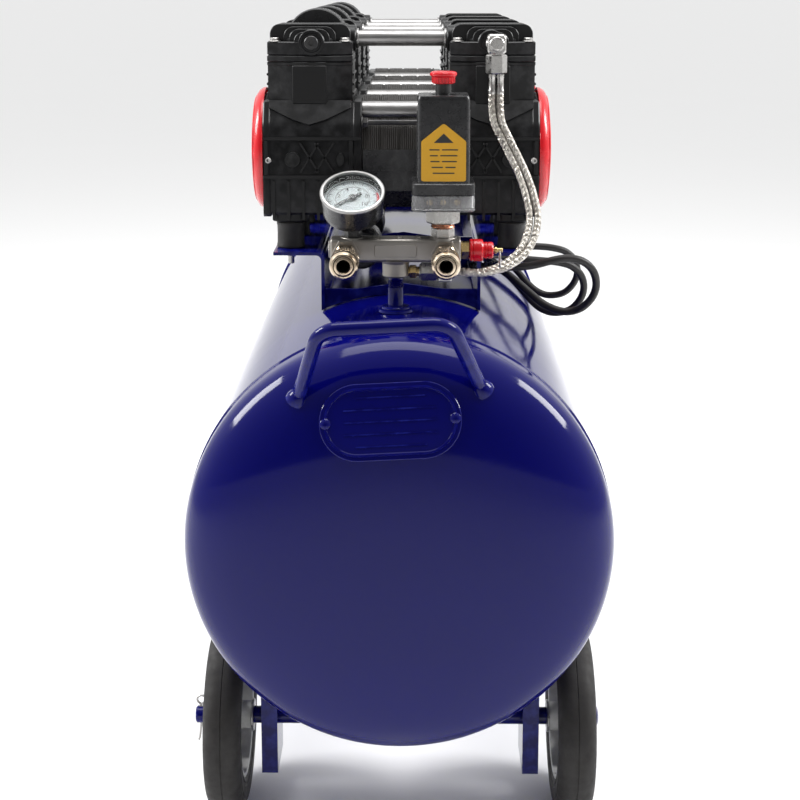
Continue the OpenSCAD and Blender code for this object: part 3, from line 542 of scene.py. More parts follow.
@dataclass(frozen=True)
class Paint:
    """Glossy sprayed enamel with orange peel, faint dust, and edges lightened as a painted highlight with
    some wear.
    """

    name: str
    colour: Colour
    sheen_and_wear: Colour
    gloss: float = 0.07

    def material(self) -> bpy.types.Material:
        """Builds the material."""
        s = Shader(self.name)
        depth = s.level(s.noise(7, 4), 0.0, 0.35, 0.35, 0.75)
        base = s.mix(depth, self.colour, tuple(c * 0.72 for c in self.colour))
        # Lightened edges: a painted highlight of the gloss, with some wear.
        base = s.mix(s.edges(), base, self.sheen_and_wear)
        rough = s.level(s.noise(30, 3), self.gloss, self.gloss + 0.05, 0.3, 0.8)
        peel = s.bump(s.noise(200, 1), 0.014)
        return s.dress(Base_Color=base, Roughness=rough, Normal=peel, IOR=1.45, Specular_IOR_Level=0.24)


@dataclass(frozen=True)
class Casting:
    """Powder-coated die casting: pebbled skin, satin sheen, edges painted a little bright as a highlight,
    with some wear.
    """

    name: str
    colour: Colour
    sheen_and_wear: Colour
    rough: float = 0.42
    grain: float = 900.0
    metal: float = 0.0
    shine: float = 0.3

    def material(self) -> bpy.types.Material:
        """Builds the material."""
        s = Shader(self.name)
        tone = s.level(s.noise(28, 5), 0.0, 0.4, 0.3, 0.75)
        base = s.mix(tone, self.colour, tuple(c * 1.4 for c in self.colour))
        # Edges and ribs painted a little bright: a painted highlight, with some wear.
        base = s.mix(s.edges(0.56, 0.70), base, self.sheen_and_wear)
        rough = s.level(s.noise(90, 4), self.rough - 0.05, self.rough + 0.08, 0.3, 0.75)
        skin = s.bump(s.noise(self.grain, 3), 0.05, s.bump(s.noise(self.grain / 3, 3), 0.04))
        return s.dress(Base_Color=base, Roughness=rough, Normal=skin, Metallic=self.metal,
                       Specular_IOR_Level=self.shine)


@dataclass(frozen=True)
class Rubber:
    """Vulcanised rubber: matt, finely grained and a little dusty."""

    name: str
    colour: Colour
    dust: Colour
    rough: float = 0.62

    def material(self) -> bpy.types.Material:
        """Builds the material."""
        s = Shader(self.name)
        dusty = s.level(s.noise(35, 6), 0.0, 0.5, 0.48, 0.8)
        base = s.mix(dusty, self.colour, self.dust)
        rough = s.level(s.noise(120, 4), self.rough - 0.1, self.rough + 0.15, 0.3, 0.7)
        skin = s.bump(s.noise(1500, 2), 0.06, s.bump(s.noise(150, 3), 0.08))
        return s.dress(Base_Color=base, Roughness=rough, Normal=skin, Specular_IOR_Level=0.35)


@dataclass(frozen=True)
class Plastic:
    """Injection-moulded plastic with a fine spark-eroded texture."""

    name: str
    colour: Colour
    rough: float = 0.3
    clear: float = 0.0
    texture: float = 0.04

    def material(self) -> bpy.types.Material:
        """Builds the material."""
        s = Shader(self.name)
        tone = s.level(s.noise(18, 4), 0.0, 0.4, 0.35, 0.7)
        base = s.mix(tone, self.colour, tuple(min(1.0, c * 1.35 + 0.004) for c in self.colour))
        # Convex edges lightened towards a paler tone: a painted highlight, with some wear.
        base = s.mix(s.edges(0.53, 0.62), base, tuple(min(1.0, c * 1.8 + 0.03) for c in self.colour))
        rough = s.level(s.noise(140, 4), self.rough - 0.07, self.rough + 0.1, 0.3, 0.7)
        skin = s.bump(s.noise(2200, 2), self.texture)
        return s.dress(Base_Color=base, Roughness=rough, Normal=skin,
                       Transmission_Weight=self.clear, IOR=1.49)


@dataclass(frozen=True)
class Metal:
    """Turned, drawn or plated metal with fine lines, smudges and a soft patina."""

    name: str
    colour: Colour
    tarnish: Colour
    rough: float = 0.25
    lines: tuple[float, float, float] = (1.0, 1.0, 1.0)
    metal: float = 1.0

    def material(self) -> bpy.types.Material:
        """Builds the material."""
        s = Shader(self.name)
        patchy = s.level(s.noise(55, 5), 0.0, 0.8, 0.42, 0.78)
        base = s.mix(patchy, self.colour, self.tarnish)
        rough = s.level(s.noise(300, 5, self.lines), self.rough - 0.08, self.rough + 0.16, 0.3, 0.7)
        skin = s.bump(s.noise(900, 4, self.lines), 0.03)
        return s.dress(Base_Color=base, Roughness=rough, Normal=skin, Metallic=self.metal)


@dataclass(frozen=True)
class Laminations:
    """Edges of stacked stator sheets: fine bands with varnish and rust-brown tones."""

    name: str
    colour: Colour
    varnish: Colour
    pitch: float = 1.0

    def material(self) -> bpy.types.Material:
        """Builds the material."""
        s = Shader(self.name)
        bands = s.bands(math.tau / (20 * self.pitch * MM), "X")
        streaks = s.level(s.noise(40, 6, (40.0, 1.0, 1.0)), 0.0, 1.0, 0.35, 0.7)
        base = s.mix(streaks, self.colour, self.varnish)
        base = s.mix(s.level(bands, 0.0, 0.55), base, tuple(c * 0.35 for c in self.varnish))
        rough = s.level(s.noise(200, 4), 0.32, 0.6, 0.3, 0.7)
        skin = s.bump(bands, 0.15, s.bump(s.noise(700, 3), 0.04))
        return s.dress(Base_Color=base, Roughness=rough, Normal=skin, Metallic=0.7)


@dataclass(frozen=True)
class Glass:
    """Clear pane with the faintest smear."""

    name: str
    colour: Colour

    def material(self) -> bpy.types.Material:
        """Builds the material."""
        s = Shader(self.name)
        rough = s.level(s.noise(30, 4), 0.0, 0.03, 0.5, 0.8)
        return s.dress(Base_Color=self.colour, Roughness=rough, Transmission_Weight=1.0, IOR=1.12,
                       Specular_IOR_Level=0.3)


@dataclass(frozen=True)
class Film:
    """Printed film or card: flat ink with slight mottling and a satin lacquer."""

    name: str
    colour: Colour
    rough: float = 0.35

    def material(self) -> bpy.types.Material:
        """Builds the material."""
        s = Shader(self.name)
        mottle = s.level(s.noise(400, 4), 0.0, 0.35, 0.35, 0.7)
        base = s.mix(mottle, self.colour, tuple(c * 0.86 for c in self.colour))
        rough = s.level(s.noise(80, 4), self.rough - 0.05, self.rough + 0.1, 0.3, 0.7)
        return s.dress(Base_Color=base, Roughness=rough, Normal=s.bump(s.noise(1200, 2), 0.015))


@dataclass(frozen=True)
class Studio:
    """Pale floor sheet with a barely visible mottle."""

    name: str
    colour: Colour

    def material(self) -> bpy.types.Material:
        """Builds the material."""
        s = Shader(self.name)
        base = s.mix(s.level(s.noise(1.5, 3), 0.0, 0.3), self.colour, tuple(c * 0.97 for c in self.colour))
        return s.dress(Base_Color=base, Roughness=0.75, Specular_IOR_Level=0.15)


class Slot(Enum):
    """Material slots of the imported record, by the finish that a maker would name."""

    TANK = "tank_paint"
    ZINC = "zinc_steel"
    BLACK_STEEL = "black_steel"
    TYRE = "tyre_rubber"
    MOUNT = "mount_rubber"
    CORD = "cord_rubber"
    HUB = "hub_paint"
    BRASS = "brass"
    COUPLER = "coupler_plate"
    ALLOY = "cast_grey"
    BLACK_PLASTIC = "black_plastic"
    CLEAR_PLASTIC = "grey_plastic"
    DIAL = "dial_white"
    GLASS = "clear_glass"
    LABEL = "label_yellow"
    RED_PLASTIC = "red_plastic"
    CASTING = "black_casting"
    LAMINATION = "lamination"
    CHROME = "bright_tube"
    PISTON = "piston_alloy"
    BRAID = "braid"


# For Paint and Casting the third colour is the painted edge highlight, with some wear.
FINISHES: dict[Slot, Any] = {
    Slot.TANK: Paint("tank_enamel", (0.0010, 0.0013, 0.090), (0.010, 0.014, 0.19)),
    Slot.ZINC: Metal("zinc_plate", (0.50, 0.49, 0.475), (0.32, 0.31, 0.295), 0.28),
    Slot.BLACK_STEEL: Metal("black_oxide", (0.05, 0.05, 0.052), (0.09, 0.085, 0.08), 0.36, metal=0.8),
    Slot.TYRE: Rubber("tyre_rubber", (0.017, 0.0155, 0.015), (0.045, 0.042, 0.039)),
    Slot.MOUNT: Rubber("mount_rubber", (0.016, 0.015, 0.015), (0.05, 0.046, 0.044), 0.5),
    Slot.CORD: Rubber("cord_rubber", (0.014, 0.013, 0.013), (0.04, 0.037, 0.036), 0.42),
    Slot.HUB: Paint("hub_enamel", (0.52, 0.52, 0.50), (0.7, 0.7, 0.69), 0.34),
    Slot.BRASS: Metal("brass", (0.62, 0.45, 0.20), (0.45, 0.30, 0.12), 0.26),
    Slot.COUPLER: Metal("nickel_brass", (0.60, 0.50, 0.38), (0.36, 0.26, 0.17), 0.17),
    Slot.ALLOY: Casting("die_cast_alloy", (0.26, 0.245, 0.225), (0.6, 0.57, 0.53), 0.4, 600.0, 0.85),
    Slot.BLACK_PLASTIC: Plastic("black_plastic", (0.011, 0.011, 0.012), 0.27),
    Slot.CLEAR_PLASTIC: Plastic("smoked_plastic", (0.62, 0.62, 0.63), 0.12, 0.85, 0.01),
    Slot.DIAL: Film("dial_card", (0.56, 0.60, 0.61), 0.5),
    Slot.GLASS: Glass("gauge_glass", (0.96, 0.98, 0.98)),
    Slot.LABEL: Film("safety_yellow", (0.60, 0.31, 0.006)),
    Slot.RED_PLASTIC: Plastic("red_plastic", (0.50, 0.004, 0.010), 0.2),
    Slot.CASTING: Casting("black_casting", (0.005, 0.005, 0.0055), (0.05, 0.05, 0.053), 0.34),
    Slot.LAMINATION: Laminations("stator_sheets", (0.13, 0.125, 0.12), (0.06, 0.055, 0.05)),
    Slot.CHROME: Metal("bright_tube", (0.36, 0.355, 0.35), (0.25, 0.245, 0.24), 0.34, (0.05, 1.0, 1.0)),
    Slot.PISTON: Metal("piston_alloy", (0.50, 0.50, 0.49), (0.36, 0.35, 0.33), 0.38),
    Slot.BRAID: Metal("steel_braid", (0.62, 0.59, 0.54), (0.36, 0.33, 0.29), 0.3),
}
EXTRA: dict[str, Any] = {
    "copper": Metal("copper", (0.62, 0.28, 0.17), (0.40, 0.17, 0.10), 0.28),
    "ink": Film("black_ink", (0.012, 0.012, 0.013), 0.4),
    "red_ink": Film("red_ink", (0.62, 0.02, 0.03), 0.4),
    # Near-black used as painted shade in holes, bores and under the hose braid.
    "deep": Plastic("painted_shade_black", (0.002, 0.002, 0.002), 0.8, texture=0.0),
    "floor": Studio("studio_floor", (0.93, 0.93, 0.93)),
}


@dataclass
class Bench:
    """What the sub-assemblies share: frame facts, finishes and the hand-over of pieces."""

    frame: dict[str, Any]
    finishes: dict[str, bpy.types.Material] = field(default_factory=dict)
    count: int = 0

    def finish(self, key: Slot | str) -> bpy.types.Material:
        """Material of a slot or of an extra finish, made once."""
        name = key.value if isinstance(key, Slot) else key
        if name not in self.finishes:
            recipe = FINISHES[key] if isinstance(key, Slot) else EXTRA[key]
            self.finishes[name] = recipe.material()
        return self.finishes[name]

    def joint(self, name: str) -> Vector:
        """Pivot of a hinge joint in millimetres."""
        found = next(j for j in self.frame["joints"] if j["name"] == name)
        return Vector(found["pos_m"]) / MM

    def box(self, node: str) -> tuple[Vector, Vector]:
        """Lowest and highest corner of a frame node in millimetres."""
        low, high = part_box(node)
        return low / MM, high / MM

    def mount(self, name: str) -> Vector:
        """Place of a mount in millimetres."""
        found = next(m for m in self.frame["record"]["mounts"] if m["name"] == name)
        return Vector(found["pos_m"]) / MM

    def pump_places(self) -> list[Vector]:
        """Shaft centres of the pump units, front to back."""
        return [self.joint(f"rotor_{k}_spin") for k in (1, 2, 3, 4)]

    def deliver(self, piece: bpy.types.Object, body: str = "frame",
                stands_for: Sequence[str] = ()) -> bpy.types.Object:
        """Hands a finished piece to its body.

        Args:
            piece: The object.
            body: The body that it rides on.
            stands_for: Frame nodes that it replaces.

        Returns:
            The piece.
        """
        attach(piece, body)
        if stands_for:
            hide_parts(*stands_for)
        self.count += 1
        log.info("%s rides on %s", piece.name, body)
        return piece

    def build(self, solid: Solid, name: str, slot: Slot, body: str = "frame",
              stands_for: Sequence[str] = (), extras: Sequence[Slot | str] = (),
              bevel: float = 0.0, tidy: bool = True) -> bpy.types.Object:
        """Makes a piece from a solid and hands it over.

        Args:
            solid: The mesh in millimetres.
            name: Name of the piece.
            slot: Its main finish.
            body: The body that it rides on.
            stands_for: Frame nodes that it replaces.
            extras: Further finishes, used by material index from 1.
            bevel: Width of an edge bevel in millimetres.
            tidy: Whether face normals are recalculated.

        Returns:
            The piece.
        """
        piece = solid.make(name, [self.finish(slot), *(self.finish(e) for e in extras)], tidy)
        if bevel:
            eased = piece.modifiers.new("eased_edges", "BEVEL")
            eased.width = bevel * MM
            eased.segments = 2
            eased.limit_method = "ANGLE"
            eased.angle_limit = SHARP
            eased.harden_normals = True
        return self.deliver(piece, body, stands_for)

    def repeat(self, piece: bpy.types.Object, name: str, shift: Vector) -> bpy.types.Object:
        """Copies a piece along a shift, sharing its mesh.

        Args:
            piece: The piece.
            name: Name of the copy.
            shift: The shift in millimetres.

        Returns:
            The copy.
        """
        twin = piece.copy()
        twin.name = name
        bpy.context.scene.collection.objects.link(twin)
        twin.matrix_world = Matrix.Translation(shift * MM) @ piece.matrix_world
        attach(twin, piece["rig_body"])
        self.count += 1
        return twin

    def refinish(self, node: str, slot: Slot, bevel: float = 0.0) -> None:
        """Gives a frame node that stays a better finish, and an edge bevel where asked.

        Args:
            node: Name of the frame node.
            slot: Its finish.
            bevel: Width of the bevel in millimetres.
        """
        shown = self.frame["nodes"][node]
        shown.data.materials.clear()
        shown.data.materials.append(self.finish(slot))
        if bevel:
            eased = shown.modifiers.new("eased_edges", "BEVEL")
            eased.width = bevel * MM
            eased.segments = 2
            eased.angle_limit = SHARP


# ---- tank, handles and running gear --------------------------------------------------------------


@dataclass
class Tank:
    """Welded tank with overlapping domed ends, its handles and its blank nameplate."""

    axis_z: float = 298.0
    shell_half: float = 440.0
    dome_depth: float = 62.0
    dome_power: float = 2.5
    skirt: float = 16.0
    joggle: float = 1.2
    weld: float = 2.4
    dome_turn: float = 3.0
    handle_half: float = 77.0
    handle_top_half: float = 52.0
    handle_rise: float = 86.0
    handle_lean: float = 35.0
    handle_r: float = 6.0
    bend_r: float = 20.0
    foot_below_rim: float = 42.0
    sunk: float = 6.0
    plate_below_rim: float = 61.0
    plate_lean: float = 22.0
    plate_size: tuple[float, float, float] = (116.0, 63.0, 31.0)
    plate_gap: float = 7.0
    stud_x: float = 53.0

    def dome_at(self, radius: float, rim: float) -> float:
        """Depth of the domed end at a radius."""
        return self.dome_depth * (1 - (radius / rim) ** self.dome_power) ** (1 / self.dome_power)

    def profile(self, rim: float) -> Outline:
        """Half section of the tank from the middle of one end to the other."""
        steps = 40
        cap = []
        for i in range(steps + 1):
            a = math.pi / 2 * i / steps
            cap.append((rim * math.sin(a) ** (2 / self.dome_power),
                        self.shell_half + self.dome_depth * math.cos(a) ** (2 / self.dome_power)))
        cap[0] = (0.0, cap[0][1])
        edge = self.shell_half - self.skirt
        bead = [(x, y) for x, y in arc(rim - self.joggle, edge, self.weld, 60, -90, 8)]
        seam = [*bead, (rim - self.joggle, edge - self.weld - 0.6)]
        half = [*cap, (rim, edge + 3.0), *seam]
        return half + [(r, -h) for r, h in reversed(half)]

    def shell(self, bench: Bench) -> None:
        """Builds the vessel with its weld seams and threaded bungs."""
        rim = bench.box("tank_shell")[1].x
        riser = sum(bench.box("riser_pipe"), Vector()) / 2
        solid = Solid().put((0, 0, self.axis_z), (0, 1, 0))
        solid.lathe(self.profile(rim), 160)
        top = self.axis_z + rim
        bung = [(13.0, -10.0), (13.0, 3.2), (12.2, 4.0), (7.3, 4.0), (7.0, 3.4), (7.0, -10.0)]
        for at, up in (((riser.x, riser.y, top), 1), ((0, 0, self.axis_z - rim), -1)):
            solid.put(at, (0, 0, up)).lathe(bung, 48, closed=True)
            solid.put(at, (0, 0, up)).lathe([(13.0, -1.2), (15.6, -0.9), (15.0, 1.0), (13.2, 2.0)], 48)
        seam = [Vector((34, y, self.axis_z - math.sqrt(rim ** 2 - 34 ** 2))) for y in range(-420, 421, 20)]
        solid.put((0, 0, 0)).sweep(seam, 1.8, 8)
        bench.build(solid, "tank_vessel", Slot.TANK, stands_for=["tank_shell"])

    def turned(self, front: bool) -> Matrix:
        """Placement of an end's own frame at the tank's axis."""
        centre = Matrix.Translation((0, 0, self.axis_z))
        if front:
            return centre @ Matrix.Rotation(-math.radians(self.dome_turn), 4, "Y")
        return centre @ Matrix.Rotation(math.pi, 4, "Z")

    def handle(self, bench: Bench, front: bool) -> None:
        """Builds one bent-tube handle with its weld beads.

        Args:
            bench: The shared bench.
            front: Whether it is the handle over the controls.
        """
        rim = bench.box("tank_shell")[1].x
        foot_z = rim - self.foot_below_rim
        foot_y = self.shell_half + self.dome_at(math.hypot(self.handle_half, foot_z), rim)
        place = (self.turned(front) @ Matrix.Translation((0, -foot_y + self.sunk, foot_z - self.sunk))
                 @ Matrix.Rotation(math.radians(self.handle_lean + 90), 4, "X"))
        corners = [(-self.handle_half, 0), (-self.handle_top_half, self.handle_rise),
                   (self.handle_top_half, self.handle_rise), (self.handle_half, 0)]
        path = rounded_path([Vector((x, y, 0)) for x, y in corners], self.bend_r, 12)
        solid = Solid()
        solid.at = place
        solid.sweep(path, self.handle_r, 24)
        for side in SIDES:
            foot = place @ Vector((side * (self.handle_half - 2.4), 8.0, 0))
            along = (place.to_3x3() @ Vector((-side * (self.handle_half - self.handle_top_half),
                                              self.handle_rise, 0))).normalized()
            solid.put(foot, along)
            solid.lathe([(6.0, 3.4), (7.0, 2.4), (9.4, -1.2), (10.6, -4.6), (6.0, -6.0)], 32)
        name = "front_handle" if front else "rear_handle"
        bench.build(solid, name + "_tube", Slot.TANK, stands_for=[name])

    def nameplate(self, bench: Bench) -> None:
        """Builds the blank plate with its pressed border and its two riveted studs."""
        rim = bench.box("tank_shell")[1].x
        up = rim - self.plate_below_rim
        width, height, corner = self.plate_size
        stand = self.shell_half + self.dome_at(up, rim) + self.plate_gap
        place = (self.turned(True) @ Matrix.Translation((0, -stand, up))
                 @ Matrix.Rotation(math.radians(90 - self.plate_lean), 4, "X"))
        plate = Solid()
        plate.at = place
        outer = round_rect(width, height, corner, 14)
        bands = [(0.0, 0.0), (0.0, 1.5), (0.5, 2.0), (3.4, 2.0), (4.0, 3.0), (5.2, 3.0), (6.0, 1.7),
                 (7.0, 1.5)]
        points, n = [], len(outer)
        for inset, z in bands:
            shrunk = round_rect(width - 2 * inset, height - 2 * inset, corner - inset, 14)
            points += [(x, y, z) for x, y in shrunk]
        faces: list[list[int]] = [list(range(n))[::-1], [len(points) - n + i for i in range(n)]]
        for k in range(len(bands) - 1):
            faces += [[k * n + i, k * n + (i + 1) % n, (k + 1) * n + (i + 1) % n, (k + 1) * n + i]
                      for i in range(n)]
        plate.add(points, faces)
        for row in range(5):
            reach = 76.0 if row in (1, 2, 3) else 58.0
            plate.at = place @ Matrix.Translation((0, 20.0 - row * 10.0, 1.4))
            plate.prism(round_rect(reach, 1.2, 0.5, 3), 0.0, 0.55)
        bench.build(plate, "blank_nameplate", Slot.TANK, stands_for=["nameplate"])
        studs = Solid()
        for side in SIDES:
            studs.at = place @ Matrix.Translation((side * self.stud_x, 0, 0))
            studs.rod(2.5, -19.0, 1.0)
            studs.lathe([(4.6, 1.9), (4.4, 2.9), (3.2, 3.9), (1.4, 4.4), (0, 4.5)], 28)
            studs.lathe([(2.6, -1.6), (5.0, -1.4), (5.0, -0.1), (2.6, 0.0)], 28, closed=True)
        bench.build(studs, "nameplate_rivets", Slot.TANK, stands_for=["nameplate_studs"])

    def build(self, bench: Bench) -> None:
        """Builds the tank and what is welded to its ends."""
        self.shell(bench)
        self.handle(bench, True)
        self.handle(bench, False)
        self.nameplate(bench)


@dataclass
class Wheel:
    """Solid-rubber wheel on a pressed hub, one for each side."""

    radius: float = 87.0
    tyre_w: float = 34.0
    hub_r: float = 56.0
    boss_r: float = 16.0
    hub_w: float = 40.0
    bore_r: float = 8.05
    web_x: float = 5.0
    holes: int = 6

    def tyre(self, bench: Bench, side: int, name: str) -> None:
        """Builds the tyre: smooth tread with a mould line, rounded shoulders and ringed sidewalls.

        Args:
            bench: The shared bench.
            side: Side of the axle, -1 or 1.
            name: Name of that side.
        """
        half = self.tyre_w / 2
        wall = [(self.hub_r, half - 3.5), (self.hub_r + 2.5, half - 1.2), (self.hub_r + 5, half - 0.6),
                (self.hub_r + 6, half - 1.4), (self.hub_r + 8, half - 1.4), (self.hub_r + 9, half - 0.3),
                (self.radius - 13, half), (self.radius - 11.6, half - 0.9), (self.radius - 10, half - 0.9),
                (self.radius - 8.6, half - 0.3), (self.radius - 6.0, half - 1.4),
                (self.radius - 3.4, half - 3.6), (self.radius - 1.5, half - 6.4),
                (self.radius - 0.4, half - 9.6), (self.radius, half - 13.0)]
        tread = [(self.radius, 0.6), (self.radius - 0.5, 0.2)]
        half_section = [*wall, *tread]
        section = half_section + [(r, -x) for r, x in reversed(half_section)]
        solid = Solid().put(bench.joint(f"wheel_{name}_spin"), (side, 0, 0))
        solid.lathe(section, 120, closed=True)
        bench.build(solid, f"tyre_{name}_rubber", Slot.TYRE, f"wheel_{name}", [f"tyre_{name}"])

    def hub(self, bench: Bench, side: int, name: str) -> None:
        """Builds the pressed hub: flanged rim, dished web with holes, and a tubular boss.

        Args:
            bench: The shared bench.
            side: Side of the axle, -1 or 1.
            name: Name of that side.
        """
        solid = Solid().put(bench.joint(f"wheel_{name}_spin"), (side, 0, 0))
        half = self.tyre_w / 2 - 2
        rim = [(self.hub_r - 3.0, -half), (self.hub_r - 0.2, -half - 0.6), (self.hub_r + 1.2, -half),
               (self.hub_r - 0.2, -half + 1.6), (self.hub_r - 0.4, 0), (self.hub_r - 0.2, half - 1.6),
               (self.hub_r + 1.2, half), (self.hub_r - 0.2, half + 0.6), (self.hub_r - 3.0, half),
               (self.hub_r - 2.6, 0)]
        solid.lathe(rim, 96, closed=True)
        steps, rings = 96, 9
        reach = [self.boss_r - 0.6 + (self.hub_r - 2.4 - self.boss_r) * i / (rings - 1) for i in range(rings)]
        points: list[tuple[float, float, float]] = []
        for i, r in enumerate(reach):
            dish = self.web_x * math.sin(math.pi * i / (rings - 1)) ** 1.5
            for s in range(steps):
                a = math.tau * s / steps
                points.append((r * math.cos(a), r * math.sin(a), 4.0 - dish))
        span = steps // self.holes
        faces = []
        for i in range(rings - 1):
            for s in range(steps):
                if 3 <= i <= 5 and s % span in range(3, 9):
                    continue
                t = (s + 1) % steps
                faces.append([i * steps + s, i * steps + t, (i + 1) * steps + t, (i + 1) * steps + s])
        web = Solid().put(bench.joint(f"wheel_{name}_spin"), (side, 0, 0)).add(points, faces)
        pressed = web.make(f"hub_{name}_web", [bench.finish(Slot.HUB)], tidy=False)
        thick = pressed.modifiers.new("sheet", "SOLIDIFY")
        thick.thickness = 2.4 * MM
        thick.offset = 0
        smooth = pressed.modifiers.new("pressed_edges", "BEVEL")
        smooth.width = 0.5 * MM
        smooth.angle_limit = math.radians(50)
        bench.deliver(pressed, f"wheel_{name}")
        solid.ring(self.boss_r - 3.0, self.bore_r, -self.hub_w / 2, self.hub_w / 2)
        solid.lathe([(self.boss_r - 3.2, -7), (self.boss_r + 1.2, -6), (self.boss_r + 1.2, 9),
                     (self.boss_r - 3.2, 10)], 48)
        bench.build(solid, f"hub_{name}_rim", Slot.HUB, f"wheel_{name}", [f"wheel_hub_{name}"])

    def build(self, bench: Bench) -> None:
        """Builds both wheels."""
        for side, name in ((-1, "left"), (1, "right")):
            self.tyre(bench, side, name)
            self.hub(bench, side, name)


@dataclass
class RunningGear:
    """Axle, split pin, washers, brackets, rear legs, feet and the drain cock."""

    axle_r: float = 8.0
    head_r: float = 11.0
    washer_r: float = 15.0

    def axle(self, bench: Bench) -> None:
        """Builds the axle with its head and chamfered ends."""
        low, high = bench.box("axle")
        centre = (low + high) / 2
        rod = Solid().put((low.x, centre.y, centre.z), (1, 0, 0))
        length = high.x - low.x
        rod.rod(self.axle_r, 0, length - 4, 1.2)
        rod.lathe([(0, length), (self.head_r - 3.5, length), (self.head_r - 0.8, length - 1.6),
                   (self.head_r, length - 3.4), (self.head_r, length - 6), (self.axle_r, length - 6)], 48)
        bench.build(rod, "axle_rod", Slot.TANK, stands_for=["axle"])
        pin_low, pin_high = bench.box("split_pin")
        x = (pin_low.x + pin_high.x) / 2
        wire = 1.05
        eye = pin_high.z - 5.0
        pin = Solid()
        for leg in SIDES:
            path = [Vector((x + leg * 3.4, centre.y, pin_low.z)),
                    Vector((x + leg * 2.0, centre.y, pin_low.z + 5)),
                    Vector((x + leg * 1.0, centre.y, centre.z - 9)),
                    Vector((x + leg * 1.0, centre.y, centre.z + 9)),
                    *[Vector((x + leg * (4.0 * math.sin(a)), centre.y, eye - 4.0 * math.cos(a)))
                      for a in [math.pi * (0.12 + 0.88 * i / 10) for i in range(11)]]]
            pin.put((0, 0, 0)).sweep(smooth_route(path, 3), wire, 10)
        bench.build(pin, "split_pin_wire", Slot.ZINC, stands_for=["split_pin"])
        rings = Solid()
        left, right = bench.joint("wheel_left_spin").x, bench.joint("wheel_right_spin").x
        half = 20.3
        for x0 in (left - half - 2.0, left + half, right - half - 2.0):
            rings.put((x0, centre.y, centre.z), (1, 0, 0)).ring(self.washer_r, self.axle_r, 0, 2.0)
        bench.build(rings, "washers", Slot.ZINC, stands_for=["axle_washers"])

    def feet(self, bench: Bench) -> None:
        """Builds the moulded rear feet with their retaining heads."""
        solid = Solid()
        for side in ("left", "right"):
            at = bench.mount(f"foot_{side}")
            solid.put(at).lathe([(0, 0.0), (11, 0.0), (11.6, 1.0), (14.2, 1.0), (14.8, 0.2), (15.6, 0.2),
                                 (16, 1.2), (15.2, 6.0), (14.2, 8.0), (14.0, 13.4), (13.4, 14.0), (4, 14.0),
                                 (4, 17.0), (6.6, 17.0), (7, 18.2), (6, 20.4), (3, 21.0), (0, 21.0)], 48)
        bench.build(solid, "rear_feet", Slot.MOUNT, stands_for=["rubber_feet"])

    def drain(self, bench: Bench) -> None:
        """Builds the drain cock body and its winged spindle."""
        low, _ = bench.box("drain_valve")
        pivot = bench.joint("drain_cock_turn")
        body = Solid().put((0, 0, low.z))
        hexagon_top = 16.0
        body.prism(hexagon(17), 0, hexagon_top, ease=0.8)
        body.lathe([(6.5, hexagon_top - 1), (6.5, hexagon_top + 12), (6.1, hexagon_top + 13),
                    (3, hexagon_top + 13)], 32)
        body.lathe([(6.2, 0.4), (5.0, -0.6), (3.4, -0.6), (3.0, 0.2)], 32)
        body.put((0, 0, pivot.z), (0, 1, 0))
        body.lathe([(0, 16), (3.6, 16), (3.6, 17.6), (5, 18), (5, 9), (4.6, 8)], 32)
        body.put((0, -8, pivot.z), (0, -1, 0)).ring(5.4, 3.0, 0, 5)
        bench.build(body, "drain_cock", Slot.BRASS, stands_for=["drain_valve"])
        wing = Solid().put((0, -3, pivot.z), (0, -1, 0)).rod(2.9, 0, 17)
        wing.put((0, -18, pivot.z), (1, 0, 0))
        for side in SIDES:
            wing.lathe([(0, side * 2), (2.7, side * 2), (2.0, side * 5), (2.6, side * 8), (1.9, side * 9.8),
                        (0, side * 10)], 24)
        bench.build(wing, "drain_wing", Slot.BRASS, "drain_spindle", ["drain_knob"])

    def build(self, bench: Bench) -> None:
        """Builds the running gear and refinishes the folded sheet parts."""
        self.axle(bench)
        self.feet(bench)
        self.drain(bench)
        for node in ("axle_brackets", "rear_legs"):
            bench.refinish(node, Slot.TANK, 0.7)


# ---- pump units ----------------------------------------------------------------------------------


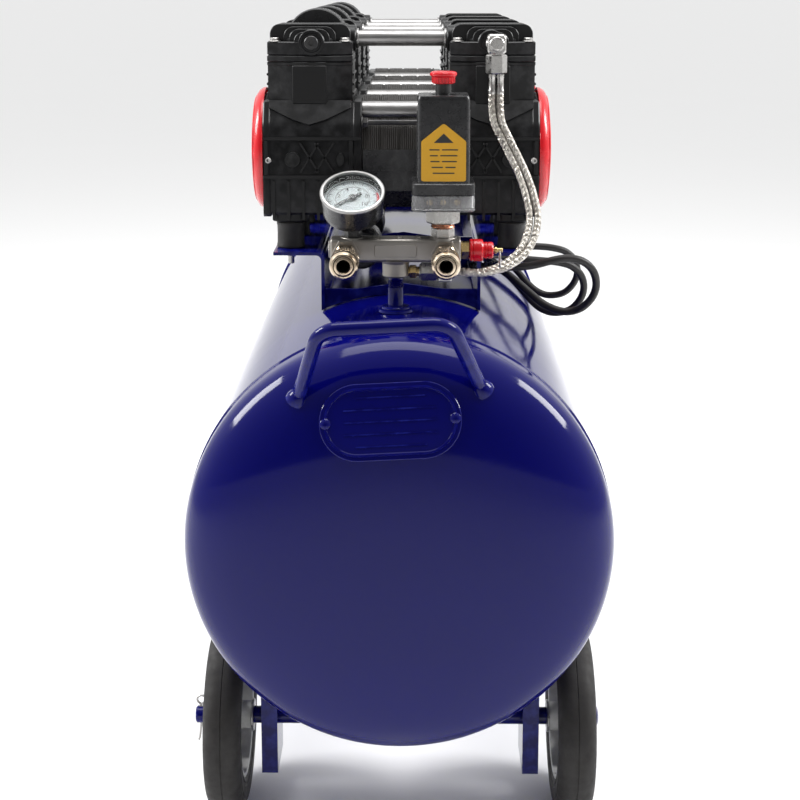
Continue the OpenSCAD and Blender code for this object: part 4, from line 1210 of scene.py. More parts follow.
@dataclass
class PumpUnit:
    """One motor with a crankcase, cylinder and finned head at each end; four stand in a row."""

    inner: float = 37.0
    outer: float = 130.0
    head_x: float = 86.0
    crank_half: float = 55.0
    crank_h: float = 114.0
    shaft_up: float = 65.0
    cylinder_top: float = 150.0
    head_h: float = 35.0
    head_half: float = 40.0
    stator_r: float = 52.0
    lobe_r: float = 9.0
    cover_r: float = 59.0
    tube_r: float = 7.5
    tube_up: float = 171.0
    port_up: float = 168.0
    filter_r: float = 30.5
    bolt: float = 33.0
    mount_x: float = 105.5
    mount_pitch: float = 76.0
    fan_blades: int = 9
    blade_r: float = 31.0
    cover_slots: int = 12

    def at(self, bench: Bench, k: int) -> Vector:
        """Foot of a pump unit on its centre line."""
        shaft = bench.pump_places()[k]
        return Vector((0, shaft.y, shaft.z - self.shaft_up))

    def both_sides(self, bench: Bench, draw: Callable[[Solid, Vector], None], name: str, slot: Slot,
                   node: str, **options: Any) -> None:
        """Builds a part on the right, mirrors it to the left, and repeats both for every unit.

        Args:
            bench: The shared bench.
            draw: Draws the right-hand part of the first unit into a solid.
            name: Base name of the pieces.
            slot: Finish of the part.
            node: Frame node that the pieces replace.
            options: Passed on to Bench.build().
        """
        first = self.at(bench, 0)
        for side in ("right", "left"):
            solid = Solid()
            draw(solid, first)
            if side == "left":
                solid.mirrored()
            piece = bench.build(solid, f"{name}_1_{side}", slot, stands_for=[node], **options)
            for k in (1, 2, 3):
                bench.repeat(piece, f"{name}_{k + 1}_{side}", self.at(bench, k) - first)

    def crankcase(self, solid: Solid, base: Vector) -> None:
        """Draws a crankcase: ribbed body, bearing collar, feet and bosses.

        Args:
            solid: The solid to draw into.
            base: Foot of the pump unit.
        """
        y, z = base.y, base.z
        half, h = self.crank_half, self.crank_h
        side = [(-half, 8.0), (-half + 3, 5.4), (half - 3, 5.4), (half, 8.0), (half, h - 24),
                (half - 3, h - 18), (self.head_half + 3, h - 1), (self.head_half, h),
                (-self.head_half, h), (-self.head_half - 3, h - 1), (-half + 3, h - 18), (-half, h - 24)]
        solid.put((self.inner, y, z), (1, 0, 0))
        solid.prism(side, 0, 8, ease=1.0)
        solid.prism([(a * 0.985, 1.6 + b * 0.975) for a, b in side], 8, self.outer - self.inner - 7)
        solid.prism(side, self.outer - self.inner - 7, self.outer - self.inner, ease=1.2)
        shaft = z + self.shaft_up
        solid.put((self.inner, y, shaft), (-1, 0, 0)).ring(self.stator_r - 3, self.stator_r - 8, -4, 3, 72)
        solid.put((self.outer, y, shaft), (1, 0, 0)).ring(self.cover_r - 6, 44, -2, 2.5, 72)
        for face in SIDES:
            front = y + face * (half - 0.9)
            solid.put((0, front, z), (0, face, 0))
            for x, w, low, high in ((84, 92, 78, 81), (84, 92, 42, 45), (47, 4, 45, 78), (127, 4, 45, 78)):
                solid.put((x, front, z + (low + high) / 2), (0, face, 0))
                solid.block(w, high - low, -1, 2.2, 1.0, 0.6)
            for turn in (32, -32):
                for shift in (-3.2, 3.2):
                    solid.put((79 + shift * 2.2, front, z + 61.5), (0, face, 0), turn)
                    solid.block(1.9, 33, -1, 2.4, 0.7, 0.5)
            for x, r, stretch in ((102, 5.8, 1.0), (57, 5.0, 0.62), (46, 5.0, 0.5)):
                solid.put((x, front, z + 59.5), (0, face, 0))
                rim = [(a * stretch, b) for a, b in arc(0, 0, r + 1.8, 0, 345, 23)]
                solid.prism(rim, -1, 1.2, ease=0.5)
                # Near-black disc inside each oval rim: painted shade standing in for the hole.
                solid.use(1).prism([(a * 0.76, b * 0.76) for a, b in rim], 1.15, 1.3).use(0)
            solid.use(2)
            socket_screw(solid, (125, front - face * 0.2, z + 59), (0, face, 0), 6.0, 2.6)
            solid.use(0)
            for x in (50, 64, 78, 92, 106, 120):
                solid.put((x, front, z + 21), (0, face, 0)).block(2.6, 38, -1.5, 1.1, 1.0, 0.4)
        for j in SIDES:
            solid.put((self.mount_x, y + j * self.mount_pitch / 2, z))
            solid.prism(round_rect(34, 26, 8, 6), 0.2, 8.5, ease=0.8)
            solid.ring(9.5, 3.4, 8.0, 10.4, 32)

    def cylinder(self, solid: Solid, base: Vector) -> None:
        """Draws a cylinder block: three facets front and back, with a skirt over the crankcase.

        Args:
            solid: The solid to draw into.
            base: Foot of the pump unit.
        """
        half = self.head_half
        plan = [(-half, -32), (-15, -43.0), (15, -43.0), (half, -32),
                (half, 32), (15, 43.0), (-15, 43.0), (-half, 32)]
        solid.put((self.head_x, base.y, base.z))
        solid.prism(plan, self.crank_h - 4, self.cylinder_top - 2.2, ease=0.8)
        solid.prism([(x * 1.012, y * 1.012) for x, y in plan], self.cylinder_top - 3.4, self.cylinder_top,
                    ease=0.5)
        for face in SIDES:
            collar = [(-39, 14), (-39, 6), (-15, -7), (0, -12), (15, -7), (39, 6), (39, 14)]
            solid.put((self.head_x, base.y + face * 47.5, base.z + self.crank_h - 12), (0, face * 24, 15))
            solid.prism(collar, -2, 1.6, ease=0.6)
            solid.put((self.head_x, base.y + face * 42.0, base.z + self.crank_h + 15), (0, face, 0))
            solid.block(32, 36, -2, 2.0, 1.0, 0.6)
        for x in SIDES:
            for z in (self.crank_h + 6, self.crank_h + 15, self.crank_h + 24):
                solid.put((self.head_x + x * half, base.y, base.z + z), (0, 1, 0))
                solid.block(3.0, 2.6, -30, 30, 1.0, 0.5)

    def head(self, solid: Solid, base: Vector) -> None:
        """Draws a finned head: flange with screw shoulders, port bosses and stepped cross fins.

        Args:
            solid: The solid to draw into.
            base: Foot of the pump unit.
        """
        top = self.cylinder_top + self.head_h
        half = self.head_half
        plan = [(-half, -35), (-17, -43.0), (17, -43.0), (half, -35),
                (half, 35), (17, 43.0), (-17, 43.0), (-half, 35)]
        solid.put((self.head_x, base.y, base.z))
        solid.prism([(x * 1.006, y * 1.006) for x, y in plan], self.cylinder_top + 0.4,
                    self.cylinder_top + 6.0, ease=0.7)
        solid.prism(plan, self.cylinder_top + 6.4, self.cylinder_top + 19.0, ease=0.9)
        solid.block(44, 74, self.cylinder_top + 17, top - 13, 4, 1.0)
        fins = [(41.2, 29, 7.0), (37.0, 38, 4.2), (32.8, 49, 2.2)]
        fins += [(26.6 - i * 7.6, 2 * half - 4, 0.0) for i in range(8)]
        fins += [(-32.8, 49, 2.2), (-37.0, 38, 4.2), (-41.2, 29, 7.0)]
        foot = self.cylinder_top + 16.0
        for y, w, drop in fins:
            rise = top - drop - foot
            r = 9.0
            outline = [(-w / 2, 0), (w / 2, 0), *arc(w / 2 - r, rise - r, r, 0, 90, 7),
                       *arc(-w / 2 + r, rise - r, r, 90, 180, 7)]
            solid.put((self.head_x, base.y + y, base.z + foot), (0, -1, 0))
            solid.prism(outline, -1.5, 1.5, ease=0.5)
        for face in SIDES:
            solid.put((self.head_x - 2, base.y + face * 34, base.z + self.port_up), (0, face, 0))
            solid.lathe([(0, 0), (12.5, 0), (12.5, 8.4), (11.6, 9.4), (9.2, 9.6), (8.6, 8.8), (0, 8.8)], 48)
        solid.put((self.head_x - half, base.y, base.z + self.tube_up), (-1, 0, 0))
        solid.lathe([(0, -6), (12.5, -6), (12.5, 1.6), (11.4, 2.6), (7.4, 2.6)], 48)

    def screws(self, solid: Solid, base: Vector) -> None:
        """Draws the four head screws on their washers."""
        for x in SIDES:
            for y in SIDES:
                seat = (self.head_x + x * self.bolt, base.y + y * self.bolt, base.z + self.cylinder_top + 19)
                solid.put(seat).ring(5.8, 3.0, 0.0, 0.8, 32)
                socket_screw(solid, (seat[0], seat[1], seat[2] + 0.8), (0, 0, 1), 8.8, 2.8)

    def cover(self, solid: Solid, base: Vector) -> None:
        """Draws a red fan cover: a shallow dome with radial slots, closed in the middle.

        Args:
            solid: The solid to draw into.
            base: Foot of the pump unit.
        """
        steps = 144
        rings = [(self.cover_r, 0.0), (self.cover_r, 1.4), (self.cover_r - 0.4, 3.4),
                 (self.cover_r - 2.4, 6.6), (self.cover_r - 6.0, 9.0), (46, 10.4), (40, 10.9), (34, 11.2),
                 (28, 11.4), (22, 11.6), (15, 11.7)]
        points: list[tuple[float, float, float]] = []
        for r, x in rings:
            points += [(r * math.cos(math.tau * s / steps), r * math.sin(math.tau * s / steps), x)
                       for s in range(steps)]
        span = steps // self.cover_slots
        faces = []
        for i in range(len(rings) - 1):
            for s in range(steps):
                open_outer = i in (4, 5) and s % span in range(2, span - 2)
                open_inner = i in (7, 8) and s % span in range(3, span - 3)
                if open_outer or open_inner:
                    continue
                t = (s + 1) % steps
                faces.append([i * steps + s, i * steps + t, (i + 1) * steps + t, (i + 1) * steps + s])
        faces.append([(len(rings) - 1) * steps + s for s in range(steps)])
        solid.put((self.outer, base.y, base.z + self.shaft_up), (1, 0, 0)).add(points, faces)

    def cover_trim(self, solid: Solid, base: Vector) -> None:
        """Draws the raised rings and the hub cap on a fan cover."""
        solid.put((self.outer, base.y, base.z + self.shaft_up), (1, 0, 0))
        for r, x in ((37.0, 11.0), (18.5, 11.6), (50.5, 9.4)):
            solid.torus(r, 1.1, 96, 8)
            bmesh.ops.translate(solid.bm, vec=(x, 0, 0), verts=solid.bm.verts[-96 * 8:])
        solid.lathe([(14, 11.4), (13.4, 12.6), (9, 13.3), (0, 13.6)], 48)

    def filters(self, bench: Bench) -> None:
        """Builds the round intake filters: ribbed can, slotted rim and mounting neck."""
        low, high = bench.box("intake_filters")
        first = self.at(bench, 0)
        start = low.y
        length = high.y - (bench.pump_places()[3].y - first.y) - start
        solid = Solid().put((-self.head_x + 2, start, first.z + self.port_up), (0, 1, 0))
        r = self.filter_r
        body: Outline = [(0, 0), (6.0, 0), (6.0, 13.6), (r - 6, 13.6), (r - 1.4, 14.4), (r - 0.4, 16)]
        ribs = 6
        pitch = (length - 28) / ribs
        for i in range(ribs):
            z = 17.5 + i * pitch
            body += [(r, z), (r, z + pitch * 0.45), (r - 1.7, z + pitch * 0.55), (r - 1.7, z + pitch * 0.9)]
        body += [(r - 0.2, length - 9.5), (r - 1.6, length - 6), (r - 8, length - 1.2),
                 (r - 10, length - 0.4), (r - 12, length - 1.2), (8, length - 1.0), (7, length), (0, length)]
        solid.lathe(body, 72)
        for s in range(18):
            a = math.tau * s / 18
            spot = (-self.head_x + 2 + (r - 5.4) * math.cos(a), start + length - 3.4,
                    first.z + self.port_up + (r - 5.4) * math.sin(a))
            solid.put(spot, (0, 1, 0), math.degrees(a)).block(6.5, 2.0, -1, 0.9, 0.6, 0.3)
        can = bench.build(solid, "intake_filter_1", Slot.BLACK_PLASTIC, stands_for=["intake_filters"])
        for k in (1, 2, 3):
            bench.repeat(can, f"intake_filter_{k + 1}", self.at(bench, k) - first)

    def stator(self, bench: Bench) -> None:
        """Builds the stator pack with its bolting lobes, tie rods and nuts."""
        first = self.at(bench, 0)
        shaft = first + Vector((0, 0, self.shaft_up))
        pack = Solid().put((-self.inner, shaft.y, shaft.z), (1, 0, 0))
        sheets = 37
        step = 2 * self.inner / sheets
        skin: Outline = []
        for i in range(sheets):
            x = i * step
            r = self.stator_r - (1.0 if i % 9 == 8 else 0.0)
            skin += [(r - 0.5, x + 0.05), (r, x + 0.35), (r, x + step - 0.35), (r - 0.5, x + step - 0.05)]
        pack.lathe([(28, 0), *skin, (28, 2 * self.inner)], 96, closed=True)
        body = bench.build(pack, "stator_pack_1", Slot.LAMINATION, stands_for=["stators"])
        lobes = Solid()
        rods = Solid()
        for a in (50, 130, 225, 315):
            y = shaft.y + (self.stator_r - 1) * math.cos(math.radians(a))
            z = shaft.z + (self.stator_r - 1) * math.sin(math.radians(a))
            lobes.put((-self.inner, y, z), (1, 0, 0))
            lobes.lathe([(0, 0), (8.6, 0), (self.lobe_r, 0.5), (self.lobe_r, 2 * self.inner - 0.5),
                         (8.6, 2 * self.inner), (0, 2 * self.inner)], 40)
        for face in SIDES:
            seat = (shaft.y + face * 49.5, shaft.z + 29.5)
            rods.put((-self.inner, *seat), (1, 0, 0)).rod(2.4, 0, 2 * self.inner)
            for x, way in ((-self.inner, 1), (self.inner, -1)):
                rods.put((x, *seat), (way, 0, 0)).ring(6.0, 2.4, 0, 1.4, 32)
                rods.prism(hexagon(8.6), 1.2, 6.2, ease=0.6)
        # Black band over the lower half of the stator pack, with a rib along each face.
        lower_black_band = Solid().put((-self.inner + 1, shaft.y, shaft.z), (1, 0, 0))
        w, reach = self.stator_r + 0.9, self.stator_r - 17
        rim = [(w, 4), (w, -reach), (reach, -w), (-reach, -w), (-w, -reach), (-w, 4)]
        lower_black_band.prism([*rim, *arc(0, 0, self.stator_r - 0.4, 176, 364, 48)], 0, 2 * self.inner - 2)
        for face in SIDES:
            lower_black_band.put((0, shaft.y + face * (w - 0.4), shaft.z - 16), (0, face, 0))
            lower_black_band.block(2 * self.inner - 6, 1.6, 0, 1.0, 0.6, 0.3)
        cover = bench.build(lower_black_band, "stator_lower_black_band_1", Slot.BLACK_PLASTIC, bevel=0.4)
        ends = bench.build(lobes, "stator_lobes_1", Slot.CHROME)
        ties = bench.build(rods, "tie_rods_1", Slot.BLACK_STEEL)
        for k in (1, 2, 3):
            shift = self.at(bench, k) - first
            for piece, base in ((body, "stator_pack"), (ends, "stator_lobes"), (ties, "tie_rods"),
                                (cover, "stator_lower_black_band")):
                bench.repeat(piece, f"{base}_{k + 1}", shift)

    def cross_tube(self, bench: Bench) -> None:
        """Builds the bright tube between two heads with its sealing collars."""
        first = self.at(bench, 0)
        reach = self.head_x - self.head_half + 2
        solid = Solid().put((-reach, first.y, first.z + self.tube_up), (1, 0, 0))
        solid.lathe([(self.tube_r - 1.5, 0), (self.tube_r, 0), (self.tube_r, 2 * reach),
                     (self.tube_r - 1.5, 2 * reach)], 56, closed=True)
        for x in (4.6, 2 * reach - 7.0):
            solid.lathe([(self.tube_r, x), (self.tube_r + 1.6, x), (self.tube_r + 1.9, x + 0.5),
                         (self.tube_r + 1.9, x + 1.9), (self.tube_r + 1.6, x + 2.4), (self.tube_r, x + 2.4)],
                        56, closed=True)
        tube = bench.build(solid, "cross_tube_1", Slot.CHROME, stands_for=["cross_tubes"])
        for k in (1, 2, 3):
            bench.repeat(tube, f"cross_tube_{k + 1}", self.at(bench, k) - first)

    def plugs(self, bench: Bench) -> None:
        """Builds the socketed plugs in the heads' unused ports."""
        solid = Solid()
        for k in range(4):
            base = self.at(bench, k)
            for i in SIDES:
                for j in SIDES:
                    outlet = k == 0 and i > 0 and j < 0
                    filtered = i < 0 and j > 0
                    if not (outlet or filtered):
                        socket_screw(solid, (i * (self.head_x - 2), base.y + j * 42.6, base.z + self.port_up),
                                     (0, j, 0), 13.0, 3.4)
        bench.build(solid, "socket_plugs", Slot.BLACK_STEEL, stands_for=["port_plugs"])

    def rotor(self, bench: Bench, k: int) -> None:
        """Builds a rotor: shaft, core, eccentrics and a bladed fan at each end.

        Args:
            bench: The shared bench.
            k: Number of the unit, from 0.
        """
        shaft = bench.pump_places()[k]
        solid = Solid().put((-self.outer - 4.5, shaft.y, shaft.z), (1, 0, 0)).rod(6.0, 0, 2 * self.outer + 9)
        solid.put((-34, shaft.y, shaft.z), (1, 0, 0)).rod(27, 0, 68, 1.0, 64)
        for side in SIDES:
            solid.put((side * (self.inner + 18), shaft.y, shaft.z - 7), (side, 0, 0)).rod(16, 0, 10, 0.8, 48)
            solid.put((side * (self.inner + 30), shaft.y, shaft.z + 7), (side, 0, 0)).rod(13, 0, 24, 0.8, 48)
            solid.use(1).put((side * (self.outer - 5), shaft.y, shaft.z), (side, 0, 0))
            solid.lathe([(6, 0), (12, 0), (12, 8.0), (50, 8.2), (50, 9.2), (12, 9.4), (11, 10.5),
                         (6, 10.5)], 64, closed=True)
            for b in range(self.fan_blades):
                a = math.tau * b / self.fan_blades
                spot = shaft + Vector((side * (self.outer + 1.8), self.blade_r * math.cos(a),
                                       self.blade_r * math.sin(a)))
                solid.put(spot, (side, 0, 0)).at @= Matrix.Rotation(side * a + 0.5, 4, "Z")
                solid.block(24, 1.6, -1.2, 6.0, 0.7, 0.3)
            solid.use(0)
        bench.build(solid, f"rotor_{k + 1}_with_fans", Slot.LAMINATION, f"rotor_{k + 1}",
                    [f"pump_{k + 1}_rotor"], extras=[Slot.BLACK_PLASTIC])

    def mounts(self, bench: Bench) -> None:
        """Builds the rubber mounts with their bonded washers, and their studs and nuts."""
        low, high = bench.box("rubber_mounts")
        rubber, steel = Solid(), Solid()
        r, h = high.x - self.mount_x, high.z - low.z
        for k in range(4):
            base = self.at(bench, k)
            for i in SIDES:
                for j in SIDES:
                    at = (i * self.mount_x, base.y + j * self.mount_pitch / 2, low.z)
                    rubber.put(at).lathe([(3.2, 0.1), (r - 1, 0.1), (r, 1.4), (r, 3.0), (r - 0.5, 4.6),
                                          (r - 0.7, h / 2), (r - 0.5, h - 4.6), (r, h - 3), (r, h - 1.4),
                                          (r - 1, h - 0.1), (3.2, h - 0.1)], 48, closed=True)
                    steel.put(at).rod(3.0, -16, h + 18, 0.6, 24)
                    steel.prism(hexagon(10), -8.2, -3.2, ease=0.5).ring(8.4, 3.0, -3.2, -2.95, 32)
                    steel.prism(hexagon(10), h + 11.6, h + 16.6, ease=0.5)
                    steel.ring(8.8, 3.1, h + 10.2, h + 11.6, 32)
        bench.build(rubber, "rubber_buffers", Slot.MOUNT, stands_for=["rubber_mounts"])
        bench.build(steel, "mounting_studs", Slot.ZINC, stands_for=["mount_fasteners"])

    def capacitors(self, bench: Bench) -> None:
        """Builds the motor capacitors with rolled rims, terminals and a strap."""
        low, high = bench.box("motor_capacitors")
        first = self.at(bench, 0)
        centre_x, centre_z = (low.x + high.x) / 2, (low.z + high.z) / 2
        r = (high.x - low.x) / 2
        solid = Solid().put((centre_x, low.y, centre_z), (0, 1, 0))
        solid.lathe([(0, 1.2), (r - 2.4, 1.2), (r - 1.6, 0.2), (r - 0.4, 0.6), (r, 2.0), (r, 73.0),
                     (r - 0.5, 75.2), (r - 1.6, 75.8), (r - 2.6, 74.6), (0, 74.6)], 56)
        for x in (-6, 6):
            solid.put((centre_x + x, low.y + 1.2, centre_z), (0, -1, 0)).block(6.3, 0.9, 0, 7, 0.3, 0.1)
        solid.use(1).put((centre_x, low.y + 34, centre_z), (0, 1, 0)).ring(r + 1.0, r - 0.2, 0, 9, 56)
        can = bench.build(solid, "capacitor_1", Slot.BLACK_PLASTIC, stands_for=["motor_capacitors"],
                          extras=[Slot.ZINC])
        for k in (1, 2, 3):
            bench.repeat(can, f"capacitor_{k + 1}", self.at(bench, k) - first)

    def build(self, bench: Bench) -> None:
        """Builds all four units."""
        self.both_sides(bench, self.crankcase, "crankcase", Slot.CASTING, "crankcases",
                        extras=["deep", Slot.ZINC])
        self.both_sides(bench, self.cylinder, "cylinder", Slot.CASTING, "cylinders")
        self.both_sides(bench, self.head, "finned_head", Slot.CASTING, "cylinder_heads")
        self.both_sides(bench, self.screws, "head_screw_set", Slot.ZINC, "head_screws")
        self.both_sides(bench, self.cover_trim, "fan_cover_trim", Slot.RED_PLASTIC, "fan_covers")
        first = self.at(bench, 0)
        for side in ("right", "left"):
            solid = Solid()
            self.cover(solid, first)
            if side == "left":
                solid.mirrored()
            dome = solid.make(f"fan_cover_1_{side}", [bench.finish(Slot.RED_PLASTIC)], tidy=False)
            shell = dome.modifiers.new("moulding", "SOLIDIFY")
            shell.thickness = 2.0 * MM
            shell.offset = -1
            eased = dome.modifiers.new("eased_edges", "BEVEL")
            eased.width = 0.35 * MM
            eased.angle_limit = math.radians(50)
            bench.deliver(dome)
            for k in (1, 2, 3):
                bench.repeat(dome, f"fan_cover_{k + 1}_{side}", self.at(bench, k) - first)
        self.filters(bench)
        self.stator(bench)
        self.cross_tube(bench)
        self.plugs(bench)
        self.mounts(bench)
        self.capacitors(bench)
        for k in range(4):
            self.rotor(bench, k)
        bench.refinish("bearings", Slot.ZINC)
        bench.refinish("pistons", Slot.PISTON, 0.6)


# ---- pressed frame and controls ------------------------------------------------------------------


@dataclass
class Deck:
    """Pressed rails and saddles below the pumps, and the riser from the tank."""

    riser_r: float = 7.0

    def riser(self, bench: Bench) -> None:
        """Builds the riser with its thread runout."""
        low, high = bench.box("riser_pipe")
        x, y = (low.x + high.x) / 2, (low.y + high.y) / 2
        solid = Solid().put((x, y, low.z))
        length = high.z - low.z
        grooves: Outline = []
        for i in range(5):
            grooves += [(self.riser_r, length - 10.4 + i * 1.6), (self.riser_r - 0.6, length - 9.6 + i * 1.6)]
        solid.lathe([(5.2, 0), (self.riser_r, 0), *grooves, (self.riser_r, length - 1.4),
                     (self.riser_r, length), (5.2, length)], 40, closed=True)
        bench.build(solid, "riser_tube", Slot.TANK, stands_for=["riser_pipe"])

    def build(self, bench: Bench) -> None:
        """Builds the riser and refinishes the folded sheet."""
        self.riser(bench)
        bench.refinish("frame_rails", Slot.TANK, 0.8)
        bench.refinish("frame_saddles", Slot.TANK, 0.8)


@dataclass
class Manifold:
    """Die-cast block that feeds both outlets, with its inlet fittings, couplers and relief valve."""

    width: float = 24.0
    boss_r: float = 12.0
    coupler_shift: float = 44.0
    sleeve_from: float = 22.0
    sleeve_l: float = 24.0
    sleeve_r: float = 12.5
    socket_r: float = 5.5

    def block(self, bench: Bench) -> None:
        """Builds the cast block with port pads, screw bosses and an inlet boss."""
        low, high = bench.box("manifold_block")
        riser_low, riser_high = bench.box("riser_pipe")
        y = (riser_low.y + riser_high.y) / 2
        x = (low.x + high.x) / 2
        bottom, top = high.z - 21.0, high.z
        length = high.x - low.x
        solid = Solid().put((low.x, y, (bottom + top) / 2), (1, 0, 0))
        h = top - bottom
        w = self.width
        section = round_rect(w, h, 3.2, 5)
        solid.prism(section, 0, length, ease=1.4)
        for side in SIDES:
            solid.put((x + side * self.coupler_shift, y - w / 2 + 1, bottom + h / 2 - 2), (0, -1, 0))
            solid.prism(hexagon(22), -2, 1.4, ease=0.5)
        for px, r in ((x - 38, 12.0), (x + 42, 13.2)):
            solid.put((px, y, top - 2)).lathe([(0, 0), (r, 0), (r - 1.0, 2.5), (r - 1.8, 2.7), (0, 2.7)], 40)
        for px in (x - 17, x + 3, x + 20):
            solid.put((px, y - 4, top - 1))
            solid.lathe([(0, 0), (3.8, 0), (3.6, 1.7), (2.2, 1.7), (2.0, 0.9), (0, 0.9)], 28)
        solid.put((x, y - w / 2 + 0.5, (bottom + top) / 2), (0, -1, 0)).block(38, 11, -1, 1.3, 2.0, 0.5)
        solid.put((riser_high.x - 7, y, low.z))
        solid.lathe([(7.2, 0), (self.boss_r - 1, 0), (self.boss_r, 1), (self.boss_r, 12),
                     (self.boss_r + 2, 15), (7.2, 15)], 48, closed=True)
        solid.put((low.x, y, (bottom + top) / 2), (-1, 0, 0))
        solid.prism(hexagon(15), -1, 1.6, ease=0.5)
        bench.build(solid, "manifold_casting", Slot.ALLOY, stands_for=["manifold_block"], bevel=0.35)

    def fittings(self, bench: Bench) -> None:
        """Builds the brass nipple, the chamfered nut and the twin hose block."""
        low, high = bench.box("manifold_fittings")
        _, boss = bench.box("riser_pipe")
        y, z = boss.y - 7, low.z + (high.z - low.z) / 2
        solid = Solid().put((low.x, y, z), (1, 0, 0)).rod(4.5, 0, 11).prism(hexagon(11), 1.2, 7.4, ease=0.6)
        solid.use(1).put((high.x - 28, y, z), (1, 0, 0))
        solid.prism(hexagon(15), 0, 15.6, ease=1.1)
        solid.rod(6.6, -0.8, 16.0, 0.3)
        solid.put((high.x - 6, y, z - 8)).block(12, 18, 0, 16, 2.0, 0.8)
        solid.put((high.x - 6, y, z), (0, -1, 0))
        solid.lathe([(0, 8), (5.2, 8), (5.2, 9.6), (4.6, 10.2), (0, 10.2)], 32)
        bench.build(solid, "inlet_fittings", Slot.BRASS, stands_for=["manifold_fittings"], extras=[Slot.ZINC],
                    bevel=0.3)

    def coupler(self, bench: Bench) -> None:
        """Builds both coupler bodies: hexagon, grooved barrel and a socket painted near-black as shade."""
        solid = Solid()
        for name in ("left", "right"):
            at = bench.mount(f"air_outlet_{name}")
            y = bench.box("coupler_bodies")[1].y
            solid.put((at.x, y, at.z), (0, -1, 0))
            solid.prism(hexagon(21), 0.6, 9.4, ease=1.0)
            solid.lathe([(0, 9), (10.6, 9), (10.6, 10.4), (9.4, 10.8), (9.4, 12.6), (10.9, 13), (11.2, 13.6),
                         (11.2, 17.4), (10.8, 18), (8.5, 18.2), (8.5, 44.0), (8.2, 46.0), (8.2, 49.6),
                         (7.2, 50.2), (self.socket_r + 0.6, 50.2), (self.socket_r, 49.4)], 56)
            # The socket bore is painted near-black: painted shade in the bore.
            solid.use(1).lathe([(self.socket_r, 49.4), (self.socket_r, 16), (3.0, 15), (3.0, 8), (0, 8)], 40)
            solid.use(0)
        bench.build(solid, "coupler_barrels", Slot.COUPLER, stands_for=["coupler_bodies"], extras=["deep"])

    def sleeve(self, bench: Bench, name: str) -> None:
        """Builds one knurled locking sleeve on its own body.

        Args:
            bench: The shared bench.
            name: Side of the outlet that it locks.
        """
        at = bench.mount(f"air_outlet_{name}")
        y = bench.box("coupler_bodies")[1].y
        r = self.sleeve_r
        start = self.sleeve_from
        inner = 8.7
        solid = Solid().put((at.x, y, at.z), (0, -1, 0))
        solid.lathe([(inner, start + 0.2), (r - 1.4, start + 0.2), (r - 0.2, start + 1.2), (r, start + 2.4),
                     (r, start + 4.4), (r - 1.1, start + 5.0), (r - 1.1, start + 16), (r, start + 16.6),
                     (r, start + self.sleeve_l - 1.2), (r - 0.5, start + self.sleeve_l),
                     (r - 2.0, start + self.sleeve_l + 2.6), (r - 2.8, start + self.sleeve_l + 2.9),
                     (inner + 0.4, start + self.sleeve_l + 2.9), (inner, start + self.sleeve_l + 1.8)],
                    64, closed=True)
        solid.studded(36, r - 1.3, start + 10.5, (10.6, 1.25, 1.2))
        bench.build(solid, f"coupler_sleeve_{name}_knurled", Slot.COUPLER, f"sleeve_{name}",
                    [f"coupler_sleeve_{name}"])

    def relief(self, bench: Bench) -> None:
        """Builds the relief valve and its pull stem with a ring."""
        low, high = bench.box("safety_valve_body")
        y, z = (low.y + high.y) / 2, (low.z + high.z) / 2
        body = Solid().put((low.x, y, z), (1, 0, 0))
        body.prism(hexagon(15), 0.2, 8, ease=0.8)
        body.use(1).lathe([(2.3, 8), (9.4, 8), (10, 8.8), (10, 10.2), (9.5, 10.7), (10, 11.2), (10, 18.6),
                           (9.2, 19.8), (7.5, 20), (7.5, 21), (7.0, 21.4), (7.5, 21.9), (7.5, 23.4),
                           (7.0, 23.9), (7.5, 24.4), (7.5, 27.8), (6.6, 29), (2.3, 29)], 48, closed=True)
        bench.build(body, "relief_valve", Slot.BRASS, stands_for=["safety_valve_body"],
                    extras=[Slot.RED_PLASTIC])
        _, tip = bench.box("safety_valve_stem")
        stem = Solid().put((low.x + 4, y, z), (1, 0, 0)).rod(2.0, 0, tip.x - low.x - 4.5)
        stem.lathe([(2, 26), (3.0, 26.6), (3.0, 28.2), (2, 28.8)], 28)
        stem.use(1).put((tip.x - 3, y, z - 8), (1, 0, 0)).torus(7.6, 0.75, 48, 10)
        bench.build(stem, "relief_stem", Slot.BRASS, "valve_stem", ["safety_valve_stem"], extras=[Slot.ZINC])

    def build(self, bench: Bench) -> None:
        """Builds the block and everything screwed into it."""
        self.block(bench)
        self.fittings(bench)
        self.coupler(bench)
        self.sleeve(bench, "left")
        self.sleeve(bench, "right")
        self.relief(bench)


